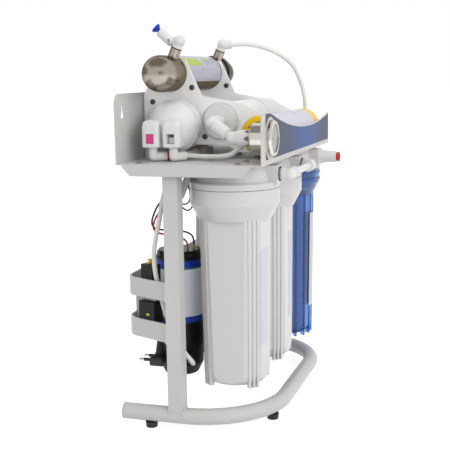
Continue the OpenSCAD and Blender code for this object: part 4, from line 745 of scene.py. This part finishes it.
# Gauge: a pressed case and bezel, chrome plated, with a printed dial behind a clear window, on
# a brass hexagon that screws into the moulded adapter.
# Chrome plate: a bright mirror, faintly warm
chrome = skin("steel, chrome plated", "#d3cfc9", "#c4bfb8", (0.1, 0.18), 3.0, 0.01, drift=9, Metallic=1.0)
dress(chrome, "gauge_case")
# Printed aluminium: flat, even grey behind the window
dial_paint = skin("aluminium, printed pale grey", "#97989c", "#8d8e93", (0.4, 0.5), 2.0, 0.01)
dress(dial_paint, "gauge_dial")
# Painted aluminium: plain satin black
pointer_black = skin("aluminium, painted black", "#1b1b1d", "#242426", (0.38, 0.5), 1.5, 0.01, drift=6)
dress(pointer_black, "gauge_pointer")
# Nickel over brass: a warm grey shine
brass = skin("brass, nickel plated", "#a39a8c", "#8f8678", (0.22, 0.34), 1.2, 0.02, drift=5, Metallic=1.0)
turned("gauge_hexagon", [(4, 0.2), (11.4, 0.2), (11.8, 0.8), (11.8, 4.5), (10.9, 8), (10.2, 8), (4, 0.2)],
       facing(at(gauge_x, -35, gauge_z), (0, 1, 0)), brass, sides=6, sharp=20)


def on_dial(right, up, out):
    """A point on the gauge's face: mm to the right, up, and out of the panel face."""
    return at(gauge_x + right, panel_y - out, gauge_z + up)


# Scale printed on the dial: 0 to 10 clockwise over 270 degrees, its marks just proud of the face
dial_out, zero_angle, mark_angle, mark_outer, number_r = 1.3, 225, 5.4, 17.8, 11
long_inner, middle_inner, short_inner, bold_half, fine_half = 14.2, 15.4, 16.3, 0.42, 0.2
mark_points, mark_faces = [], []
for mark in range(51):
    angle = math.radians(zero_angle - mark_angle * mark)
    inner = long_inner if mark % 10 == 0 else middle_inner if mark % 5 == 0 else short_inner
    half = bold_half if mark % 10 == 0 else fine_half
    ray, side = Vector((math.cos(angle), math.sin(angle))), Vector((-math.sin(angle), math.cos(angle)))
    start = len(mark_points)
    for out in (dial_out - 0.05, dial_out + 0.06):
        for corner in (inner * ray - half * side, mark_outer * ray - half * side,
                       mark_outer * ray + half * side, inner * ray + half * side):
            mark_points.append(on_dial(corner.x, corner.y, out))
    mark_faces += [tuple(start + i for i in face) for face in ring_faces(2, 4)]
shaped("dial_marks", mark_points, mark_faces, pointer_black)
number_points, number_faces = [], []
for number in range(0, 11, 2):
    words = bpy.data.curves.new("dial_number", "FONT")
    words.body = str(number)
    words.size = 4.6
    words.extrude = 0.05
    words.align_x, words.align_y = "CENTER", "CENTER"
    holder = bpy.data.objects.new("dial_number", words)
    scene.collection.objects.link(holder)
    flat = plain_mesh(holder)
    angle = math.radians(zero_angle - 5 * mark_angle * number)
    start = len(number_points)
    number_points += [on_dial(number_r * math.cos(angle) + v.co.x, number_r * math.sin(angle) + v.co.y,
                              dial_out + 0.01 + v.co.z) for v in flat.vertices]
    number_faces += [tuple(start + i for i in face.vertices) for face in flat.polygons]
    bpy.data.objects.remove(holder)
    bpy.data.meshes.remove(flat)
shaped("dial_numbers", number_points, number_faces, pointer_black)

# Booster pump: a moulded head under a steel motor can, held in the coated bracket. A printed
# band is wrapped round the can, and two leads are pushed on tabs on its end.
# Painted can: deep black with a soft shine
can_black = skin("steel can, painted black", "#111113", "#18181a", (0.3, 0.4), 2.0, 0.04,
                 Specular_IOR_Level=0.2)
dress(can_black, "pump_motor")
# Glass-filled nylon: dull black with a fine grain
head_black = skin("nylon, glass filled, moulded", "#161618", "#1f1f21", (0.45, 0.58), 1.2, 0.06, drift=20,
                  Specular_IOR_Level=0.2)
dress(head_black, "pump_head")
# Moulded acetal: pale grey with a soft sheen
valve_grey = skin("acetal, moulded pale grey", "#d6d4d0", "#cbc9c5", (0.4, 0.5), 1.5, 0.04, drift=14)
dress(valve_grey, "shutoff_valve")
# Ground steel: bare bright grey, finely marked
rotor_steel = skin("steel laminations, ground", "#9a9b9c", "#87898b", (0.25, 0.4), 0.8, 0.02, drift=6,
                   Metallic=1.0)
dress(rotor_steel, "pump_rotor")
# Printed film: blue ends, pale middle and a thin green line, edges crisp, by height on the can
pump_x, pump_y = -110, 88
band_foot, band_top, can_r, band_r = 132, 218.5, 33.9, 34.2
band, tree, shader, place = material_of("polyester film, printed in bands", Roughness=0.3,
                                        Specular_IOR_Level=0.2)
up = add(tree, "ShaderNodeSeparateXYZ", {0: place})
share = add(tree, "ShaderNodeMapRange", {"Value": up.outputs["Z"], "From Min": band_foot / 1000,
                                         "From Max": band_top / 1000})
bands = add(tree, "ShaderNodeValToRGB", {0: share.outputs[0]})
bands.color_ramp.interpolation = "CONSTANT"
bands.color_ramp.elements[0].color = linear("#0b38a6")
bands.color_ramp.elements[1].color = linear("#0b38a6")
bands.color_ramp.elements[1].position = 0.88
for stop, code in ((0.1, "#eaedf6"), (0.86, "#3f8f5a")):
    bands.color_ramp.elements.new(stop).color = linear(code)
faded = add(tree, "ShaderNodeTexNoise", {"Vector": place, "Scale": 1000 / 14, "Detail": 3.0})
light_wear = add(tree, "ShaderNodeMapRange", {"Value": faded.outputs[0], "From Min": 0.4, "From Max": 0.8,
                                              "To Max": 0.12})
worn = add(tree, "ShaderNodeMix", {0: light_wear.outputs[0], 6: bands.outputs[0], 7: linear("#b9bcc8")},
           data_type="RGBA")
tree.links.new(worn.outputs[2], shader.inputs["Base Color"])
height = add(tree, "ShaderNodeBump", {"Height": faded.outputs[0], "Distance": 0.00005})
tree.links.new(height.outputs[0], shader.inputs["Normal"])
band_profile = [(can_r, band_foot), (band_r, band_foot + 0.2), (band_r, band_top - 0.2), (can_r, band_top),
                (can_r, band_foot)]
turned("motor_film", band_profile, Matrix.Translation(at(pump_x, pump_y, 0)), band, sides=96)
vent_z, tab_z = 226, 230.5
grown("motor_vents", ring_of_bars, [at(pump_x, pump_y, vent_z)], [], seal_rubber, "black_paint",
      Count=8, Radius=0.0308, Bar=(0.009, 0.002, 0.003), Turn=(0, 0, 0))
# Stamped brass: small yellow glints
tab_brass = skin("brass, stamped", "#b99a50", "#a5873f", (0.26, 0.38), 1.0, 0.02, drift=5, Metallic=1.0)
tab_outline = [(-3.2, 0), (3.2, 0), (3.2, 6), (2, 8), (-2, 8), (-3.2, 6)]
for name, x, y in (("live", -121, 72), ("neutral", -112, 66)):
    points = [at(x + w, y + t, tab_z + h) for t in (-0.4, 0.4) for w, h in tab_outline]
    shaped(f"motor_tab_{name}", points, ring_faces(2, len(tab_outline)), tab_brass)


# Pressure switch: a small grey moulded box that hangs under the tray beside the first cap,
# on a short stub, tipped forward, with two thin leads out of its foot.
def stacked(half_x, half_y, levels):
    """The corners in mm at each (height, scale) level of a box, and its faces."""
    points = [Vector((x * k * half_x, y * k * half_y, z)) for z, k in levels
              for x, y in ((-1, -1), (1, -1), (1, 1), (-1, 1))]
    return points, ring_faces(len(levels), 4)


# Moulded nylon: light grey, almost matt
switch_grey = skin("nylon, moulded grey", "#c2c2c0", "#b6b6b4", (0.36, 0.48), 1.5, 0.05, drift=14)
switch_x, switch_lean = -165, math.radians(24)
tilt = Matrix.Translation(at(switch_x, 60, 322)) @ Matrix.Rotation(switch_lean, 4, "X")
points, faces = stacked(5, 4.5, ((-14, 0.8), (-12, 1), (8, 1), (9, 0.86), (13, 0.86), (14.5, 0.7)))
shaped("pressure_switch", [tilt @ (p / 1000) for p in points], faces, switch_grey,
       edge=0.0012)
turned("switch_stub", [(0, -4), (3.4, -4), (3.4, 2), (4.6, 3), (4.6, 21.8), (0, 21.8)],
       Matrix.Translation(at(switch_x, 54.2, 334)), switch_grey, sides=24)

# Power adapter and lamp ballast: moulded black boxes clipped inside the near strap side. One
# has a gilt lamp connector on top, the other a small lime mark on its face.
# Moulded ABS: fine-grained satin black
box_black = skin("flame-retardant ABS, moulded", "#131315", "#1b1b1d", (0.4, 0.52), 1.0, 0.06, drift=16,
                 Specular_IOR_Level=0.2)
dress(box_black, "power_adapter", "uv_ballast")
# Gilt brass: one small gold glint
gilt = skin("brass, gilt", "#d0a548", "#bd9138", (0.2, 0.3), 1.0, 0.02, drift=5, Metallic=1.0)
strap_x, strap_y, way_x, way_y = -200, 67, 0.408, 0.913


def on_strap(along, inward, z):
    """A point on the near strap side: mm along it, in from its outer face, and up."""
    return at(strap_x + way_x * along + way_y * inward, strap_y + way_y * along - way_x * inward, z)


turned("lamp_connector", [(0, -0.5), (4.2, -0.5), (4.2, 2), (3, 2.6), (3, 6), (2.4, 6.8), (0, 6.8)],
       Matrix.Translation(on_strap(50, 11, 220)), gilt, sides=32)
mark_grids = [[[on_strap(46 + i, depth, 150 + 1.5 * k) for i in range(7)] for k in range(3)]
              for depth in (3.1, 3.4)]
film("adapter_mark", *mark_grids, lime_ink, "black_plastic")


# Water tubes: quarter-inch polyethylene, cut to length and pushed into the fittings. They
# keep the wide bends of the reel they came from.
def smooth(points, steps):
    """Points with steps spans between each two, on a Catmull-Rom curve through them."""
    line, last = [], len(points) - 1
    for i in range(last):
        p0, p1, p2, p3 = (points[max(0, min(last, i + k))] for k in (-1, 0, 1, 2))
        for t in (k / steps for k in range(steps)):
            line.append(0.5 * (2 * p1 + (p2 - p0) * t + (2 * p0 - 5 * p1 + 4 * p2 - p3) * t * t
                               + (3 * p1 - p0 - 3 * p2 + p3) * t ** 3))
    return line + [points[-1]]


def flexible(name, line, diameter, material, hides=()):
    """A tube, lead or wire along a line of points in metres."""
    run = bpy.data.curves.new(name, "CURVE")
    run.dimensions = "3D"
    run.bevel_depth = diameter / 2
    run.bevel_resolution = 4
    run.use_fill_caps = True
    spline = run.splines.new("POLY")
    spline.points.add(len(line) - 1)
    for point, place in zip(spline.points, line):
        point.co = (*place, 1)
    run.materials.append(material)
    made = bpy.data.objects.new(name, run)
    scene.collection.objects.link(made)
    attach(made, "frame")
    if hides:
        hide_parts(*hides)


tube_diameter = 0.0064
feed = [(-139, 75, 339.5), (-153, 75, 339.5), (-164, 77, 335), (-172, 82, 322), (-178, 86, 302),
        (-181, 89, 280), (-181, 95, 255), (-181, 98, 233), (-180, 96, 206), (-178, 91, 180),
        (-176, 84, 150), (-174, 74, 122), (-172, 62, 102), (-167, 53, 88), (-157.5, 54.7, 82),
        (-146, 62.8, 82), (-134.6, 70.8, 82)]
rise = [(-85.4, 70.8, 82), (-74, 62.8, 82), (-62.5, 54.7, 83), (-56, 55, 96), (-57, 64, 120),
        (-60, 72, 150), (-62, 76, 200), (-63, 76, 260), (-66, 72, 310), (-70, 66, 335), (-70, 66, 350),
        (-70, 66, 363)]
floor_tube = [(-161.3, 67.5, 363.7), (-152.3, 61.2, 363.7), (-149.6, 58.8, 363.7), (-146.8, 51, 363.2),
              (-146, 40, 362.5), (-147.5, 24, 362.5), (-149.5, 10, 363.2), (-151, -2, 366),
              (-150.5, -10, 371.5), (-147.5, -19, 379), (-142, -26.5, 385), (-135, -31, 388.5),
              (-129, -31.5, 389), (-124, -31.5, 389)]
valve_tube = [(-163.5, 94, 363.7), (-158, 84.4, 363.7), (-152, 75, 363.7), (-143, 67.8, 363.7),
              (-130, 65.5, 363.9), (-113, 66, 364), (-98, 66, 364), (-90, 66, 364)]
# The product tube leaves the far elbow's ball for the post filter: shares of the way in plan and down
far_ball, tube_foot = Vector((64, 74.29, 513.02)), Vector((161, -31.5, 402))
shares = [(.045, 0), (.07, 0), (.1, 0), (.2, -.005), (.32, -.002), (.527, .055), (.725, .168), (.857, .31),
          (.939, .513), (.985, .703), (1, .853), (1, .93), (1, .965), (1, 1)]
way = tube_foot - far_ball
product = [far_ball + Vector((way.x * plan, way.y * plan, way.z * fall)) for plan, fall in shares]
for name, route, hidden in (
        ("feed_tube", feed, "pump_tubes"), ("rise_tube", rise, "pump_tubes"),
        ("floor_tube", floor_tube, "tray_tubes"), ("valve_tube", valve_tube, "tray_tubes"),
        ("product_tube_run", product, "product_tube")):
    flexible(name, smooth([at(*p) for p in route], 6), tube_diameter, tube_white,
             [hidden])

# Wires: stranded copper in vinyl, red and black to the motor and two thin black ones to the
# pressure switch. They run up beside the feed tube and in behind the caps.
# Extruded vinyl: even colour with a soft shine along the wire
wire_red = skin("vinyl wire, red", "#c4232c", "#b01c26", (0.36, 0.48), 1.5, 0.02, drift=10)
wire_black = skin("vinyl wire, black", "#19191b", "#222224", (0.36, 0.48), 1.5, 0.02, drift=10)
motor_red = [(-121, 72, 237), (-122, 73, 243), (-126, 77, 248), (-133, 84, 252), (-143, 92, 255),
             (-155, 98, 259), (-166, 101, 264), (-172, 101, 271), (-172, 98, 281), (-169, 93, 291),
             (-167, 87, 301), (-165, 80, 312), (-164, 74, 325), (-164, 70, 340), (-164, 68, 355)]
motor_black = [(-112, 66, 237), (-112, 66, 244), (-114, 68, 251), (-120, 74, 256), (-129, 83, 259),
               (-140, 92, 261), (-152, 100, 264), (-163, 104.5, 269), (-169, 104, 277), (-169, 101, 287),
               (-167, 96, 298), (-164, 88, 309), (-161, 79, 320), (-158.5, 70, 332), (-158.5, 66, 344),
               (-158.5, 64, 355)]
switch_one = [(-166, 65.4, 309), (-163.5, 66, 302.5), (-157.5, 65, 296), (-150, 62.8, 291.3),
              (-140, 61.6, 289.6), (-130, 61.2, 292), (-121, 62.2, 299), (-114, 66, 308.5),
              (-108.5, 71, 319), (-104.5, 76, 330.5), (-101.5, 80, 342.5), (-100, 82, 355)]
switch_two = [(-163, 65.4, 309), (-160.5, 66.5, 304), (-155.5, 66.2, 300.5), (-149, 65.3, 298.6),
              (-141, 64.5, 298.2), (-132.5, 64.4, 299.7), (-124.5, 65.3, 303.7), (-118, 67.7, 310.3),
              (-113.5, 71.5, 319.3), (-111.3, 76.3, 330.3), (-110.6, 81, 342.3), (-111, 84.5, 355)]
for name, route, diameter, material in (("motor_wire_red", motor_red, 0.0026, wire_red),
                                        ("motor_wire_black", motor_black, 0.0026, wire_black),
                                        ("switch_wire_one", switch_one, 0.0021, wire_black),
                                        ("switch_wire_two", switch_two, 0.0021, wire_black)):
    flexible(name, smooth([at(*p) for p in route], 6), diameter, material)

# Mains lead: one black vinyl lead from the adapter's gland, along the strap, wound in a
# tied coil behind the housings and down to a moulded two-pin plug that hangs on it.
# Extruded vinyl: satin black
lead_vinyl = skin("vinyl lead, extruded", "#1a1a1c", "#232325", (0.4, 0.52), 2.0, 0.03, drift=18)
lead_diameter = 0.0055
run_out = [(-160.7, 127.2, 134), (-157, 132.5, 133), (-150, 137.5, 131.5), (-140, 139.9, 130.5),
           (-125, 140.4, 129.5), (-100, 140.4, 127), (-75, 140.4, 124.5), (-50, 140.4, 122.5),
           (-38, 140.4, 122)]
coil_x, coil_y, coil_z, coil_r, coil_step = -25, 140.45, 155, 33, 6.2
coil = [(coil_x + coil_r * math.sin(2 * math.pi * t), coil_y - coil_step * t,
         coil_z - coil_r * math.cos(2 * math.pi * t)) for t in (k / 24 for k in range(1, 132))]
drop = [(-40, 106.6, 188.4), (-58, 110, 190), (-76, 118, 191.3), (-92, 124.5, 191.3), (-110, 127, 191.3),
        (-128, 124.5, 191.5), (-141, 117, 191.5), (-150.5, 109, 184.5), (-156, 104, 172.5),
        (-158.6, 101.8, 156), (-159, 101.5, 138), (-159, 101.5, 122), (-159, 101.5, 110), (-159, 101.5, 98)]
lead_line = smooth([at(*p) for p in run_out + coil + drop], 3)


def sleeve(name, line, radii, material, sides=24):
    """A closed sleeve round a line of points, with a radius in mm at each."""
    points = []
    for i, (place, radius) in enumerate(zip(line, radii)):
        onward = (line[min(i + 1, len(line) - 1)] - line[max(i - 1, 0)]).normalized()
        across = onward.cross(Vector((0, 0, 1))).normalized()
        over = across.cross(onward)
        points += [place + (across * math.cos(a) + over * math.sin(a)) * radius / 1000
                   for a in (2 * math.pi * s / sides for s in range(sides))]
    return shaped(name, points, ring_faces(len(line), sides), material)


# The adapter's strain relief follows the lead for 26 mm, its ribs stepping down to the lead
relief_length, rib_pitch, relief_r, relief_taper, groove_depth = 0.026, 0.0026, 4.5, 1.3, 0.7
fine = [a.lerp(b, k / 6) for a, b in zip(lead_line, lead_line[1:6]) for k in range(6)]
stations, walked = [], 0.0
for a, b in zip(fine, fine[1:]):
    walked += (b - a).length
    if walked < relief_length:
        stations.append((b, walked))
radii = [relief_r - relief_taper * walked / relief_length - groove_depth * (int(walked / rib_pitch) % 2)
         for place, walked in stations]
adapter_relief = sleeve("lead_strain_relief", [place for place, walked in stations], radii, lead_vinyl)

# Vinyl moulded on the lead: dull black, a shade deeper than the lead
plug_vinyl = skin("vinyl, moulded on the lead", "#151517", "#1e1e20", (0.4, 0.52), 1.2, 0.05, drift=14)
plug_x, plug_y, plug_z = -159, 101.5, 86
points, faces = stacked(17, 10.5, ((-7, 1), (2, 1), (7, 0.82)))
plug_body = shaped("plug_body", [at(plug_x + p.x, plug_y + p.y, plug_z + p.z) for p in points], faces,
                   plug_vinyl, edge=0.003)
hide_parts("mains_plug")
boot_profile = [(2.7, -3), (7.2, -3), (7.2, 0.5)]
for k in range(5):
    boot_profile += [(6.4 - 0.5 * k, 3.6 * k + 1), (6.1 - 0.5 * k, 3.6 * k + 3),
                     (4.7 - 0.3 * k, 3.6 * k + 3.4), (4.7 - 0.3 * k, 3.6 * k + 4.4)]
boot_profile += [(3.4, 20.6), (3.1, 22), (2.7, 22), (2.7, -3)]
plug_boot = turned("plug_strain_relief", boot_profile, Matrix.Translation(at(plug_x, plug_y, plug_z + 7)),
                   plug_vinyl, sides=32)
# Nickel on drawn pins: pale bright metal
pin_metal = skin("brass, nickel plated and drawn", "#c9c8c4", "#b7b6b1", (0.18, 0.28), 1.0, 0.01, drift=6,
                 Metallic=1.0)
pin_sleeve = [(0, -1), (2.4, -1), (2.4, 9.4), (2.1, 9.8), (0, 9.8)]
pin_tip = [(0, 9.2), (2.1, 9.2), (2.1, 15.6), (1.7, 16.8), (0.9, 17.4), (0, 17.5)]
for name, side in (("left", -9.3), ("right", 9.3)):
    base = facing(at(plug_x + side, plug_y + 10, plug_z), (0, 1, 0))
    turned(f"plug_pin_sleeve_{name}", pin_sleeve, base, plug_vinyl, sides=32)
    turned(f"plug_pin_{name}", pin_tip, base, pin_metal, sides=32)

# Cable tie: a flat nylon band, threaded through its own square head and pulled tight round
# the strap and the top of the coil.
# Moulded nylon: black with a fine sheen
tie_nylon = skin("nylon, moulded strap", "#1b1b1c", "#262627", (0.34, 0.46), 1.0, 0.03, drift=8)


def tie_loop(low_y, high_y, low_z, high_z, soft, hard):
    """A loop in the upright plane across the strap, round at the coil and tight at the strap."""
    loop = []
    for y, z, r, start in ((low_y, low_z, soft, 180), (high_y, low_z, hard, 270),
                           (high_y, high_z, hard, 0), (low_y, high_z, soft, 90)):
        cy, cz = y + (r if y == low_y else -r), z + (r if z == low_z else -r)
        loop += [(cy + r * math.cos(a), cz + r * math.sin(a))
                 for a in (math.radians(start + 15 * k) for k in range(7))]
    return loop


tie_half, tie_head_y, tie_head_z = 2, 118, 202
inner, outer = tie_loop(103.1, 146.85, 175.1, 200.9, 6, 0.4), tie_loop(102, 147.9, 174, 202, 7, 1.4)
count = len(inner)
points = [at(coil_x + w, y, z) for w in (-tie_half, tie_half) for loop in (inner, outer) for y, z in loop]
faces = []
for i in range(count):
    j = (i + 1) % count
    faces += [(i, j, count + j, count + i), (2 * count + i, 2 * count + j, 3 * count + j, 3 * count + i),
              (i, j, 2 * count + j, 2 * count + i), (count + i, count + j, 3 * count + j, 3 * count + i)]
tie_band = shaped("cord_tie_band", points, faces, tie_nylon)
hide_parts("cord_tie")
points, faces = stacked(3, 3.4, ((-1.2, 1), (1.4, 1), (2.2, 0.7)))
tie_head = shaped("cord_tie_head", [at(coil_x + p.x, tie_head_y + p.y, tie_head_z + p.z) for p in points],
                  faces, tie_nylon, edge=0.0005)
flexible("mains_lead", lead_line, lead_diameter, lead_vinyl,
         ["cord_run", "cord_coil", "cord_drop"])
